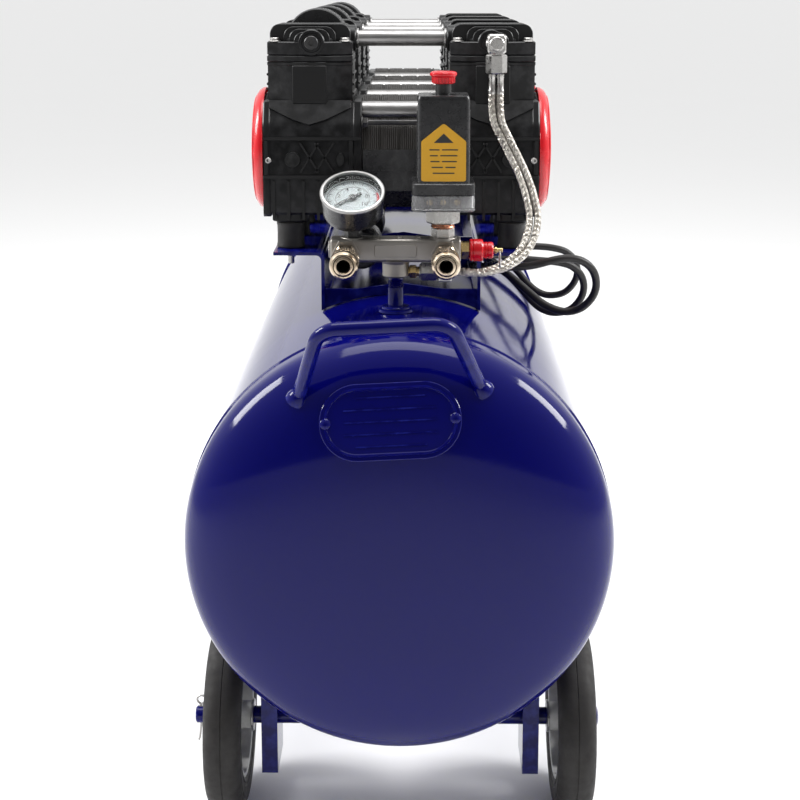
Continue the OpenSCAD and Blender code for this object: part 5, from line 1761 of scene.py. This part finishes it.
@dataclass
class Gauge:
    """Pressure gauge tilted up at the user, with a generic scale."""

    r: float = 29.0
    tilt: float = 33.0
    depth: float = 22.0
    dial_up: float = -6.0
    needle_rest: float = 215.0
    sweep_from: float = 215.0
    number_in: float = 12.2
    number_size: float = 5.0
    sweep: float = 250.0
    marks: int = 50

    def place(self, bench: Bench) -> Matrix:
        """Placement of the gauge's own frame, with the dial in its XY plane."""
        at = bench.joint("needle_sweep")
        return Matrix.Translation(at) @ Matrix.Rotation(math.radians(self.tilt), 4, "X")

    def case(self, bench: Bench) -> None:
        """Builds the case, its stem and the bright bezel ring."""
        place = self.place(bench)
        at = bench.joint("needle_sweep")
        low, _ = bench.box("gauge_case")
        r = self.r
        solid = Solid()
        solid.at = place
        solid.lathe([(0, -self.depth), (r - 5, -self.depth), (r - 3.2, -self.depth + 0.6),
                     (r - 2.2, -self.depth + 2.2), (r - 2.0, -self.depth + 6.0), (r - 1.9, -8.0),
                     (r - 1.3, -7.4), (r - 0.7, -1.0), (r - 0.4, 1.5), (r - 2.8, 1.6), (r - 4.0, -2.0),
                     (r - 4.0, -11.5), (0, -11.5)], 96)
        base = low.z
        stem_top = at.z - 12
        solid.put((at.x, at.y + 6, base)).rod(6.0, 0, stem_top - base, 0.4)
        solid.prism(hexagon(14), 0.3, 8, ease=0.8)
        bench.build(solid, "gauge_housing", Slot.BLACK_PLASTIC, stands_for=["gauge_case"])
        ring = Solid()
        ring.at = place
        ring.lathe([(r - 3.4, 3.4), (r - 2.6, 3.9), (r - 1.4, 3.9), (r - 0.4, 3.4), (r, 2.6), (r, 1.6),
                    (r - 2.6, 1.6), (r - 3.5, 1.9), (r - 3.5, 2.6)], 96, closed=True)
        bench.build(ring, "gauge_ring", Slot.CHROME, stands_for=["gauge_bezel"])

    def mark(self, solid: Solid, place: Matrix, turn: float, inner: float, outer: float,
             width: float) -> None:
        """Adds one radial scale mark.

        Args:
            solid: The print being built.
            place: The gauge's placement.
            turn: Angle on the dial in degrees.
            inner: Inner radius.
            outer: Outer radius.
            width: Width of the mark.
        """
        solid.at = place @ Matrix.Rotation(math.radians(turn), 4, "Z") @ Matrix.Translation(
            ((inner + outer) / 2, 0, 0))
        solid.prism(round_rect(outer - inner, width, width * 0.2, 2), self.dial_up + 1.0, self.dial_up + 1.14)

    def dial(self, bench: Bench) -> None:
        """Builds the dial card with ticks, a red warning arc and generic numbers."""
        place = self.place(bench)
        card = Solid()
        card.at = place
        r = self.r - 4.1
        card.lathe([(2.6, self.dial_up), (r, self.dial_up), (r, self.dial_up + 0.9),
                    (r - 0.1, self.dial_up + 1.0),
                    (2.6, self.dial_up + 1.0)], 72, closed=True)
        card.use(1)
        for k in range(self.marks + 1):
            turn = self.sweep_from - self.sweep * k / self.marks
            main = k % 5 == 0
            self.mark(card, place, turn, r - (6.4 if main else 4.6), r - 2.2, 0.75 if main else 0.36)
        for s, (a, b) in enumerate(((215, 20), (215, -35))):
            ring_r = r - 2.0 if s == 0 else r - 9.6
            rim = arc(0, 0, ring_r, a, b, 60) + arc(0, 0, ring_r - 0.5, b, a, 60)
            card.at = place
            card.prism(rim, self.dial_up + 1.0, self.dial_up + 1.13)
        card.use(2).at = place
        rim = arc(0, 0, r - 1.6, 20, -35, 24) + arc(0, 0, r - 3.6, -35, 20, 24)
        card.prism(rim, self.dial_up + 1.0, self.dial_up + 1.13)
        bench.build(card, "gauge_dial_card", Slot.DIAL, stands_for=["gauge_dial"], extras=["ink", "red_ink"])
        for k in range(6):
            turn = math.radians(self.sweep_from - self.sweep * k / 5)
            out = r - self.number_in
            self.number(bench, place, str(2 * k), out * math.cos(turn), out * math.sin(turn),
                        self.number_size)

    def number(self, bench: Bench, place: Matrix, text: str, x: float, y: float, size: float) -> None:
        """Adds one printed number to the dial.

        Args:
            bench: The shared bench.
            place: The gauge's placement.
            text: The digits.
            x: Middle of the number across the dial.
            y: Middle of the number up the dial.
            size: Height of the digits.
        """
        curve = bpy.data.curves.new(f"dial_number_{text}", "FONT")
        curve.body = text
        curve.size = size * MM * 1.3
        curve.align_x = "CENTER"
        curve.align_y = "CENTER"
        curve.extrude = 0.04 * MM
        curve.offset = 0.06 * MM
        curve.materials.append(bench.finish("ink"))
        made = bpy.data.objects.new(f"dial_number_{text}", curve)
        bpy.context.scene.collection.objects.link(made)
        spot = place @ Matrix.Translation((x, y, self.dial_up + 1.08))
        made.matrix_world = Matrix.Translation(spot.translation * MM) @ spot.to_3x3().to_4x4()
        bench.deliver(made)

    def needle(self, bench: Bench) -> None:
        """Builds the pointer with its tail and boss on the moving body."""
        place = self.place(bench)
        solid = Solid()
        solid.at = place @ Matrix.Rotation(math.radians(self.needle_rest), 4, "Z")
        up = self.dial_up + 2.4
        solid.prism([(-9.0, -1.5), (-3.0, -0.9), (0, -1.7), (3.0, -1.0), (self.r - 9.6, -0.45),
                     (self.r - 9.2, 0), (self.r - 9.6, 0.45), (3.0, 1.0), (0, 1.7), (-3.0, 0.9), (-9.0, 1.5)],
                    up, up + 0.7)
        solid.at = place
        solid.lathe([(0, self.dial_up + 1.6), (3.4, self.dial_up + 1.6), (3.4, up + 1.0), (2.8, up + 1.5),
                     (0, up + 1.7)], 32)
        bench.build(solid, "gauge_pointer", Slot.BLACK_PLASTIC, "needle", ["gauge_needle"])

    def glass(self, bench: Bench) -> None:
        """Builds the slightly domed glass."""
        solid = Solid()
        solid.at = self.place(bench)
        r = self.r - 3.6
        solid.lathe([(0, 1.2), (r, 1.2), (r, 2.0), (r * 0.7, 2.5), (r * 0.35, 2.75), (0, 2.8)], 72)
        bench.build(solid, "gauge_pane", Slot.GLASS, stands_for=["gauge_glass"])

    def build(self, bench: Bench) -> None:
        """Builds the whole gauge."""
        self.case(bench)
        self.dial(bench)
        self.needle(bench)
        self.glass(bench)


@dataclass
class Switch:
    """Pressure switch: black cover with a red pull knob, on a smoked skirt and a stack of nuts."""

    width: float = 46.0
    deep: float = 52.0
    skirt_w: float = 56.0
    skirt_d: float = 56.0
    lip_w: float = 55.0
    lip_h: float = 11.0
    label_w: float = 39.0
    knob_r: float = 12.0

    def stack(self, bench: Bench) -> None:
        """Builds the adaptor: two hexagons, copper washers and a neck."""
        low, high = bench.box("switch_adaptor")
        x, y = (low.x + high.x) / 2, (low.y + high.y) / 2
        h = high.z - low.z
        solid = Solid().put((x, y, low.z))
        solid.prism(hexagon(18), 0.2, 9.2, ease=0.9).rod(7, 8, 14)
        solid.prism(hexagon(26), 13, h, ease=1.3)
        solid.use(1).lathe([(7, 9.4), (10.4, 9.4), (10.8, 10.1), (10.4, 10.9), (7, 10.9)], 40, closed=True)
        solid.lathe([(7, 11.3), (10.0, 11.3), (10.3, 12.0), (10.0, 12.7), (7, 12.7)], 40, closed=True)
        bench.build(solid, "switch_fitting", Slot.ZINC, stands_for=["switch_adaptor"], extras=["copper"])

    def skirt(self, bench: Bench) -> None:
        """Builds the smoked terminal skirt with ribs and terminals seen through it."""
        low, high = bench.box("switch_base")
        x, y = (low.x + high.x) / 2, (low.y + high.y) / 2
        lip, _ = bench.box("switch_cover")
        h = lip.z - low.z
        solid = Solid().put((x, y, low.z))
        solid.prism(round_rect(self.skirt_w, self.skirt_d, 6, 6), 0.0, 3.2, ease=1.2)
        outer = round_rect(self.skirt_w - 1.6, self.skirt_d - 1.6, 5.4, 6)
        inner = round_rect(self.skirt_w - 5.6, self.skirt_d - 5.6, 3.6, 6)
        n = len(outer)
        points = [(*p, 3.0) for p in outer] + [(*p, h - 0.2) for p in outer]
        points += [(*p, h - 0.2) for p in inner] + [(*p, 3.0) for p in inner]
        faces = []
        for k in range(4):
            m = (k + 1) % 4
            faces += [[k * n + i, k * n + (i + 1) % n, m * n + (i + 1) % n, m * n + i] for i in range(n)]
        solid.add(points, faces)
        for i in SIDES:
            for j in SIDES:
                solid.put((x + i * 21, y + j * 21, low.z)).rod(3.4, 2.6, h - 0.4)
        for i in range(-3, 4):
            for j in SIDES:
                solid.put((x + i * 6.5, y + j * (self.skirt_d / 2 - 1.0), low.z))
                solid.block(1.3, 1.2, 3.0, h - 1, 0.4, 0.2)
                solid.put((x + j * (self.skirt_w / 2 - 1.0), y + i * 6.5, low.z))
                solid.block(1.2, 1.3, 3.0, h - 1, 0.4, 0.2)
        bench.build(solid, "switch_skirt", Slot.CLEAR_PLASTIC, stands_for=["switch_base"])
        inside = Solid()
        for i in (-12, 0, 12):
            inside.put((x + i, y - 8, low.z + 3.2)).block(8.5, 16, 0, 7.6, 1.0, 0.5)
            inside.use(1)
            socket_screw(inside, (x + i, y - 16.1, low.z + 7.2), (0, -1, 0), 5.2, 1.6)
            inside.use(0)
        inside.put((x, y + 8, low.z + 3.2)).block(34, 12, 0, 8.6, 1.4, 0.6)
        bench.build(inside, "switch_terminals", Slot.BLACK_PLASTIC, extras=[Slot.BRASS])

    def cover(self, bench: Bench) -> None:
        """Builds the cover: lip, drafted walls, stepped top and screw recess."""
        low, high = bench.box("switch_cover")
        x, y = (low.x + high.x) / 2, (low.y + high.y) / 2
        h = high.z - low.z
        solid = Solid().put((x, y, low.z))
        solid.prism(round_rect(self.lip_w, self.skirt_d, 4.5, 6), 0.1, self.lip_h, ease=0.9)
        levels = [(self.lip_h - 1, 1.0), (h - 4.0, 0.985), (h - 1.4, 0.972), (h - 0.3, 0.95), (h - 0.1, 0.93)]
        outline = round_rect(self.width, self.deep, 4, 6)
        n = len(outline)
        points = [(px * s, py * s, z) for z, s in levels for px, py in outline]
        faces: list[list[int]] = [list(range(n))[::-1], [len(points) - n + i for i in range(n)]]
        for k in range(len(levels) - 1):
            faces += [[k * n + i, k * n + (i + 1) % n, (k + 1) * n + (i + 1) % n, (k + 1) * n + i]
                      for i in range(n)]
        solid.add(points, faces)
        for j in SIDES:
            for i in (-14, -7, 0, 7, 14):
                solid.put((x + j * self.width / 2 * 0.985, y + i, low.z + self.lip_h + 5), (0, 0, 1))
                solid.block(1.4, 2.2, 0, h - self.lip_h - 18, 0.5, 0.4)
        solid.put((x, y, high.z - 1))
        solid.lathe([(7.6, 0), (11.4, 0), (10.8, 0.9), (8.2, 0.9), (7.8, 0.2)], 40, closed=True)
        for j in SIDES:
            solid.use(1)
            socket_screw(solid, (x + j * 15.5, y + 17, high.z - 2.2), (0, 0, 1), 6.4, 2.0)
            solid.use(0)
        bench.build(solid, "switch_housing", Slot.BLACK_PLASTIC, stands_for=["switch_cover"],
                    extras=[Slot.ZINC])

    def label(self, bench: Bench) -> None:
        """Builds the blank yellow plate with a plain triangle and rows of printed bars."""
        low, high = bench.box("switch_label")
        x = (low.x + high.x) / 2
        plate = Solid().put((x, high.y, low.z), (0, -1, 0))
        w, h = self.label_w, high.z - low.z
        shape = [(-w / 2 + 2, 0), (w / 2 - 2, 0), (w / 2 - 0.4, 0.6), (w / 2, 2), (w / 2, h - 16),
                 (w / 2 - 0.6, h - 14.6), (1.6, h - 0.6), (0, h), (-1.6, h - 0.6), (-w / 2 + 0.6, h - 14.6),
                 (-w / 2, h - 16), (-w / 2, 2), (-w / 2 + 0.4, 0.6)]
        t = high.y - low.y
        plate.prism(shape, 0, t)
        home = plate.at
        plate.use(1).at = home @ Matrix.Translation((0, h - 16.4, 0))
        plate.prism([(-8.6, 0), (8.6, 0), (0, 8.2)], t, t + 0.12)
        for row, parts in enumerate(((9, 14), (7, 15), (8, 13), (10, 9), (19,))):
            start = -sum(parts) / 2 - len(parts) + 1
            for part in parts:
                plate.at = home @ Matrix.Translation((start + part / 2, h - 22.4 - row * 5.1, 0))
                plate.prism(round_rect(part, 1.1, 0.3, 2), t, t + 0.12)
                start += part + 2
        bench.build(plate, "switch_plate", Slot.LABEL, stands_for=["switch_label"], extras=["ink"])

    def knob(self, bench: Bench) -> None:
        """Builds the pull knob with its grip rings and stem on the moving body."""
        low, high = bench.box("switch_knob")
        _, cover = bench.box("switch_cover")
        x, y = (low.x + high.x) / 2, (low.y + high.y) / 2
        rise = high.z - 11.0 - cover.z
        top = high.z - cover.z
        knob = Solid().put((x, y, cover.z))
        knob.lathe([(7.6, rise), (9.2, rise + 0.2), (9.9, rise + 1.0), (10.2, rise + 5.8), (11.4, rise + 7.0),
                    (self.knob_r - 0.2, rise + 7.6), (self.knob_r, rise + 8.6),
                    (self.knob_r - 0.3, rise + 9.8), (self.knob_r - 1.4, rise + 10.6), (9.0, top),
                    (6.0, top - 0.5), (0, top - 0.7)], 64)
        knob.studded(24, 9.6, rise + 3.6, (4.6, 1.1, 0.8))
        knob.use(1).put((x, y, cover.z)).rod(7, -15.6, rise + 1.2, 0.4, 40)
        bench.build(knob, "switch_pull_knob", Slot.RED_PLASTIC, "knob", ["switch_knob"],
                    extras=[Slot.BLACK_PLASTIC])

    def build(self, bench: Bench) -> None:
        """Builds the whole switch."""
        self.stack(bench)
        self.skirt(bench)
        self.cover(bench)
        self.label(bench)
        self.knob(bench)


# ---- hoses and mains cord ------------------------------------------------------------------------


@dataclass
class AirLine:
    """Outlet elbow with a union nut, and two braided hoses down to the manifold."""

    hose_r: float = 3.5
    gap: float = 3.7
    strands: int = 20
    strand_r: float = 0.42
    lay: float = 17.0
    route: tuple[tuple[float, float, float], ...] = (
        (88, -275, 673), (88, -276, 659), (90, -278, 645), (97, -280, 630), (105, -284, 614),
        (113, -290, 597), (119, -298, 579), (122, -306, 561), (119, -316, 545), (111, -326, 532),
        (99, -334, 523), (86, -340, 518), (72, -345, 516), (60, -348, 517), (52, -350, 518))

    def elbow(self, bench: Bench) -> None:
        """Builds the elbow block, its round cap, the union nut and the hose ferrules."""
        _, high = bench.box("outlet_elbow")
        x, y, _ = self.route[0]
        z = high.z - 9.0
        solid = Solid().put((x, y, z), (0, -1, 0)).block(17, 17.6, -9, 8.6, 3.2, 1.2)
        solid.lathe([(0, 8.4), (6.8, 8.4), (6.8, 9.2), (6.2, 9.8), (5.4, 9.8), (5.0, 9.3), (0, 9.3)], 48)
        solid.put((x, y, z - 9)).rod(7.4, -1, 2).prism(hexagon(17), -18.4, -0.8, ease=1.2)
        for side in SIDES:
            solid.put((x + side * self.gap, y, self.route[0][2])).lathe(
                [(0, -2.2), (3.2, -2.2), (3.6, -1.2), (3.6, 1.8), (3.25, 2.4), (3.25, 12.4), (3.6, 13.0),
                 (3.6, 16.2), (0, 16.2)], 28)
        solid.put((x - 4, y, z), (0, 1, 0)).rod(5.5, 0, high.y - y - 1, 0.5)
        bench.build(solid, "outlet_fitting", Slot.ZINC, stands_for=["outlet_elbow"])

    def hose(self, bench: Bench, side: int, name: str) -> None:
        """Builds one braided hose along the shared route.

        Args:
            bench: The shared bench.
            side: Side of the route, -1 or 1.
            name: Name of the hose.
        """
        route = [Vector((x + side * self.gap, y, z)) for x, y, z in self.route]
        dense = smooth_route(route, 12)
        # Near-black core under the braid: the hose's inner tube, painted darker than rubber as shade between
        # the strands.
        solid = Solid().use(1).sweep(dense, self.hose_r - 0.75, 20).use(0)
        frames = carried_frames(dense)
        length = route_length(dense)
        for way in SIDES:
            for s in range(self.strands // 2):
                path, gone = [], 0.0
                for i, (centre, n, b) in enumerate(frames):
                    gone += (dense[i] - dense[i - 1]).length if i else 0.0
                    a = math.tau * (s / (self.strands / 2) + way * gone / self.lay)
                    weave = math.sin(math.tau * gone / self.lay * self.strands / 2 + way)
                    lift = self.hose_r - 0.52 + 0.16 * weave
                    path.append(centre + lift * (math.cos(a) * n + math.sin(a) * b))
                solid.sweep(path, self.strand_r, 5)
        log.info("%s is %.0f mm long", name, length)
        made = solid.make(name, [bench.finish(Slot.BRAID), bench.finish("deep")], tidy=False)
        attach(made, "frame")
        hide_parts("air_hoses")
        bench.count += 1

    def build(self, bench: Bench) -> None:
        """Builds the elbow and both hoses."""
        self.elbow(bench)
        self.hose(bench, -1, "air_hose_left")
        self.hose(bench, 1, "air_hose_right")


@dataclass
class MainsLead:
    """Mains cord looped beside the frame, from a ribbed gland to a two-pin plug."""

    r: float = 4.0
    route: tuple[tuple[float, float, float], ...] = (
        (105, -190, 493), (118, -190, 493), (134, -189, 495), (150, -188, 499), (166, -186, 501),
        (182, -182, 497), (193, -177, 486), (197, -170, 470), (193, -163, 455), (182, -156, 443),
        (166, -150, 439), (147, -143, 445), (131, -137, 457), (116, -130, 469), (102, -119, 478),
        (92, -106, 483), (88, -91, 485), (91, -76, 485), (101, -64, 483), (116, -58, 480),
        (133, -57, 477), (151, -55, 475), (168, -52, 473), (184, -49, 468), (195, -45, 457),
        (199, -40, 442), (195, -35, 427), (184, -30, 415), (168, -25, 411), (155, -20, 414),
        (145, -15, 421), (133, -8, 434), (120, 0, 447), (107, 10, 458), (96, 22, 466), (91, 37, 471),
        (93, 52, 473), (102, 64, 473), (117, 70, 471), (136, 71, 469), (156, 73, 469), (174, 75, 467),
        (190, 78, 462), (201, 82, 451), (205, 87, 436), (201, 92, 421), (190, 97, 409), (174, 102, 405),
        (161, 107, 408), (150, 112, 416), (137, 119, 430), (124, 128, 443), (112, 140, 454),
        (103, 156, 461), (97, 176, 463), (94, 200, 464), (92, 224, 464), (92, 248, 465), (93, 268, 469),
        (95, 286, 476), (96, 300, 480), (96, 314, 480))

    def gland(self, bench: Bench) -> None:
        """Builds the ribbed, tapered strain relief on its locknut."""
        low, high = bench.box("cable_gland")
        y, z = self.route[0][1], self.route[0][2]
        solid = Solid().put((low.x, y, z), (1, 0, 0))
        length = high.x - low.x
        r = (high.y - low.y) / 2
        profile: Outline = [(4.1, 0.2), (r - 3.2, 0.2), (r - 3.2, 3.0), (r - 0.6, 3.2), (r - 0.2, 4.0),
                            (r - 0.2, 7.2), (r - 1.0, 8.0), (r - 2.2, 8.4)]
        ribs = 5
        for i in range(ribs):
            start = 9.0 + i * (length - 10.5) / ribs
            pitch = (length - 10.5) / ribs
            size = r - 2.6 - (r - 8.2) * i / ribs
            profile += [(size, start), (size, start + pitch * 0.55), (size - 1.5, start + pitch * 0.62),
                        (size - 1.5, start + pitch * 0.95)]
        profile += [(5.2, length - 0.8), (4.7, length - 0.1), (4.1, length - 0.1)]
        solid.lathe(profile, 40, closed=True)
        solid.studded(6, r - 0.9, 5.6, (2.4, 2.8, 0.8))
        bench.build(solid, "strain_relief", Slot.BLACK_PLASTIC, stands_for=["cable_gland"])

    def plug(self, bench: Bench) -> bpy.types.Object:
        """Builds the moulded plug with grip ribs, a socketed face and two pins."""
        x, start, z = self.route[-1]
        solid = Solid().put((x, start, z), (0, 1, 0))
        solid.lathe([(4.1, 0.2), (5.0, 0.0), (5.2, 2.0), (4.8, 2.6), (5.4, 3.4), (5.6, 5.4), (5.0, 6.0),
                     (5.7, 6.8), (5.9, 8.8), (5.2, 9.4), (6.0, 10.4), (6.2, 13.0), (8.6, 17.0), (13.0, 21.5),
                     (16.2, 25.6), (17.4, 28.2), (17.4, 30.4), (16.6, 31.0), (16.6, 33.0), (17.4, 33.6),
                     (17.4, 38.6), (16.6, 39.8), (6.5, 39.8), (6.0, 37.0), (0, 37.0)], 64)
        solid.studded(14, 16.0, 36.0, (5.0, 2.2, 1.9))
        for side in SIDES:
            solid.use(0).put((x + side * 9.5, start + 39, z), (0, 1, 0)).rod(2.9, 0, 3.6)
            solid.use(1).rod(2.4, 3, 19.0 + 2.9, 1.2)
        plug = bench.build(solid, "mains_plug_moulded", Slot.BLACK_PLASTIC, stands_for=["mains_plug"],
                           extras=[Slot.CHROME])
        return plug

    def cord(self, bench: Bench, plug: bpy.types.Object) -> None:
        """Lays the cord from the gland to the plug.

        Args:
            bench: The shared bench.
            plug: The plug at the cord's far end; not used.
        """
        dense = smooth_route(self.route, 4)
        curve = bpy.data.curves.new("mains_cord", "CURVE")
        curve.dimensions = "3D"
        curve.bevel_depth = self.r * MM
        curve.bevel_resolution = 6
        curve.use_fill_caps = True
        line = curve.splines.new("POLY")
        line.points.add(len(dense) - 1)
        for point, spot in zip(line.points, dense):
            point.co = (*(spot * MM), 1.0)
        curve.materials.append(bench.finish(Slot.CORD))
        made = bpy.data.objects.new("mains_cord", curve)
        bpy.context.scene.collection.objects.link(made)
        bench.deliver(made, stands_for=["power_cord"])

    def build(self, bench: Bench) -> None:
        """Builds the gland, the plug and the cord between them."""
        self.gland(bench)
        self.cord(bench, self.plug(bench))


# ---- studio --------------------------------------------------------------------------------------


@dataclass
class StudioSet:
    """Camera, floor, soft boxes and sky for the product picture."""

    camera_at: tuple[float, float, float] = (0.0132, -1.7140, 0.7729)
    camera_turn: tuple[float, float, float] = (79.69, 0.0, 0.56)
    lens: float = 69.75
    shift_y: float = -0.17
    floor_r: float = 100.0

    def camera(self) -> None:
        """Sets up the main camera."""
        data = bpy.data.cameras.new("main_view")
        data.lens = self.lens
        data.sensor_width = 36.0
        data.shift_y = self.shift_y
        data.clip_end = 400.0
        made = bpy.data.objects.new("main_view", data)
        bpy.context.scene.collection.objects.link(made)
        made.location = self.camera_at
        made.rotation_euler = [math.radians(a) for a in self.camera_turn]
        bpy.context.scene.camera = made

    def floor(self, bench: Bench) -> bpy.types.Object:
        """Builds the wide pale floor."""
        solid = Solid()
        solid.put((0, 0, 0)).lathe([(0, -0.4), (600, -0.4), (3000, -0.4), (12000, -0.4),
                                    (self.floor_r / MM, -0.4)], 64)
        return solid.make("studio_floor", [bench.finish("floor")])

    def box_light(self, name: str, at: tuple[float, float, float], aim: tuple[float, float, float],
                  size: tuple[float, float], power: float, colour: Colour = (1, 1, 1)) -> bpy.types.Object:
        """Adds one rectangular soft box.

        Args:
            name: Name of the light.
            at: Its place in metres.
            aim: Point that it faces.
            size: Width and height in metres.
            power: Power in watts.
            colour: Colour of the light.

        Returns:
            The light.
        """
        data = bpy.data.lights.new(name, "AREA")
        data.shape = "RECTANGLE"
        data.size, data.size_y = size
        data.energy = power
        data.color = colour
        made = bpy.data.objects.new(name, data)
        bpy.context.scene.collection.objects.link(made)
        way = Vector(aim) - Vector(at)
        made.matrix_world = Matrix.Translation(at) @ way.to_track_quat("-Z", "Y").to_matrix().to_4x4()
        return made

    def sky(self) -> None:
        """Sets a white sky that is bright above and behind, and dim low down in front."""
        world = bpy.data.worlds.new("studio_sky")
        bpy.context.scene.world = world
        world.use_nodes = True
        tree = world.node_tree
        tree.nodes.clear()
        out = tree.nodes.new("ShaderNodeOutputWorld")
        ground = tree.nodes.new("ShaderNodeBackground")
        place = tree.nodes.new("ShaderNodeTexCoord")
        split = tree.nodes.new("ShaderNodeSeparateXYZ")
        ramp = tree.nodes.new("ShaderNodeMapRange")
        front = tree.nodes.new("ShaderNodeMapRange")
        total = tree.nodes.new("ShaderNodeMath")
        total.operation = "MULTIPLY"
        for made, values in ((ramp, (-0.1, 0.6, 1.1, 1.5)), (front, (-0.9, 0.2, 0.14, 1.0))):
            for index, number in enumerate(values, 1):
                made.inputs[index].default_value = number
        tree.links.new(place.outputs["Generated"], split.inputs[0])
        tree.links.new(split.outputs["Z"], ramp.inputs[0])
        tree.links.new(split.outputs["Y"], front.inputs[0])
        tree.links.new(ramp.outputs[0], total.inputs[0])
        tree.links.new(front.outputs[0], total.inputs[1])
        tree.links.new(total.outputs[0], ground.inputs["Strength"])
        tree.links.new(ground.outputs[0], out.inputs["Surface"])

    def build(self, bench: Bench) -> None:
        """Builds the studio and stages its floor."""
        self.camera()
        self.sky()
        floor = self.floor(bench)
        self.box_light("side_box_left", (-1.9, -0.1, 1.6), (0, -0.2, 0.35), (0.7, 0.9), 46.0)
        self.box_light("side_box_right", (1.9, -0.1, 1.6), (0, -0.2, 0.35), (0.7, 0.9), 46.0)
        self.box_light("top_box", (0.0, -0.2, 2.4), (0, 0, 0.4), (1.6, 1.0), 30.0)
        scene = bpy.context.scene
        scene.view_settings.view_transform = "Standard"
        scene.view_settings.look = "None"


def main(loaded: dict[str, Any]) -> None:
    """Dresses the frame from the tank up, then lights it.
    """
    logging.basicConfig(level=logging.INFO, format="%(name)s: %(message)s")
    bench = Bench(loaded)
    for assembly in (StudioSet(), MainsLead(), AirLine(), Tank(), Wheel(), RunningGear(), Deck(), PumpUnit(),
                     Manifold(), Gauge(), Switch()):
        assembly.build(bench)
    log.info("%d pieces placed", bench.count)
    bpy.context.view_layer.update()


if __name__ == "__main__":
    main(frame)
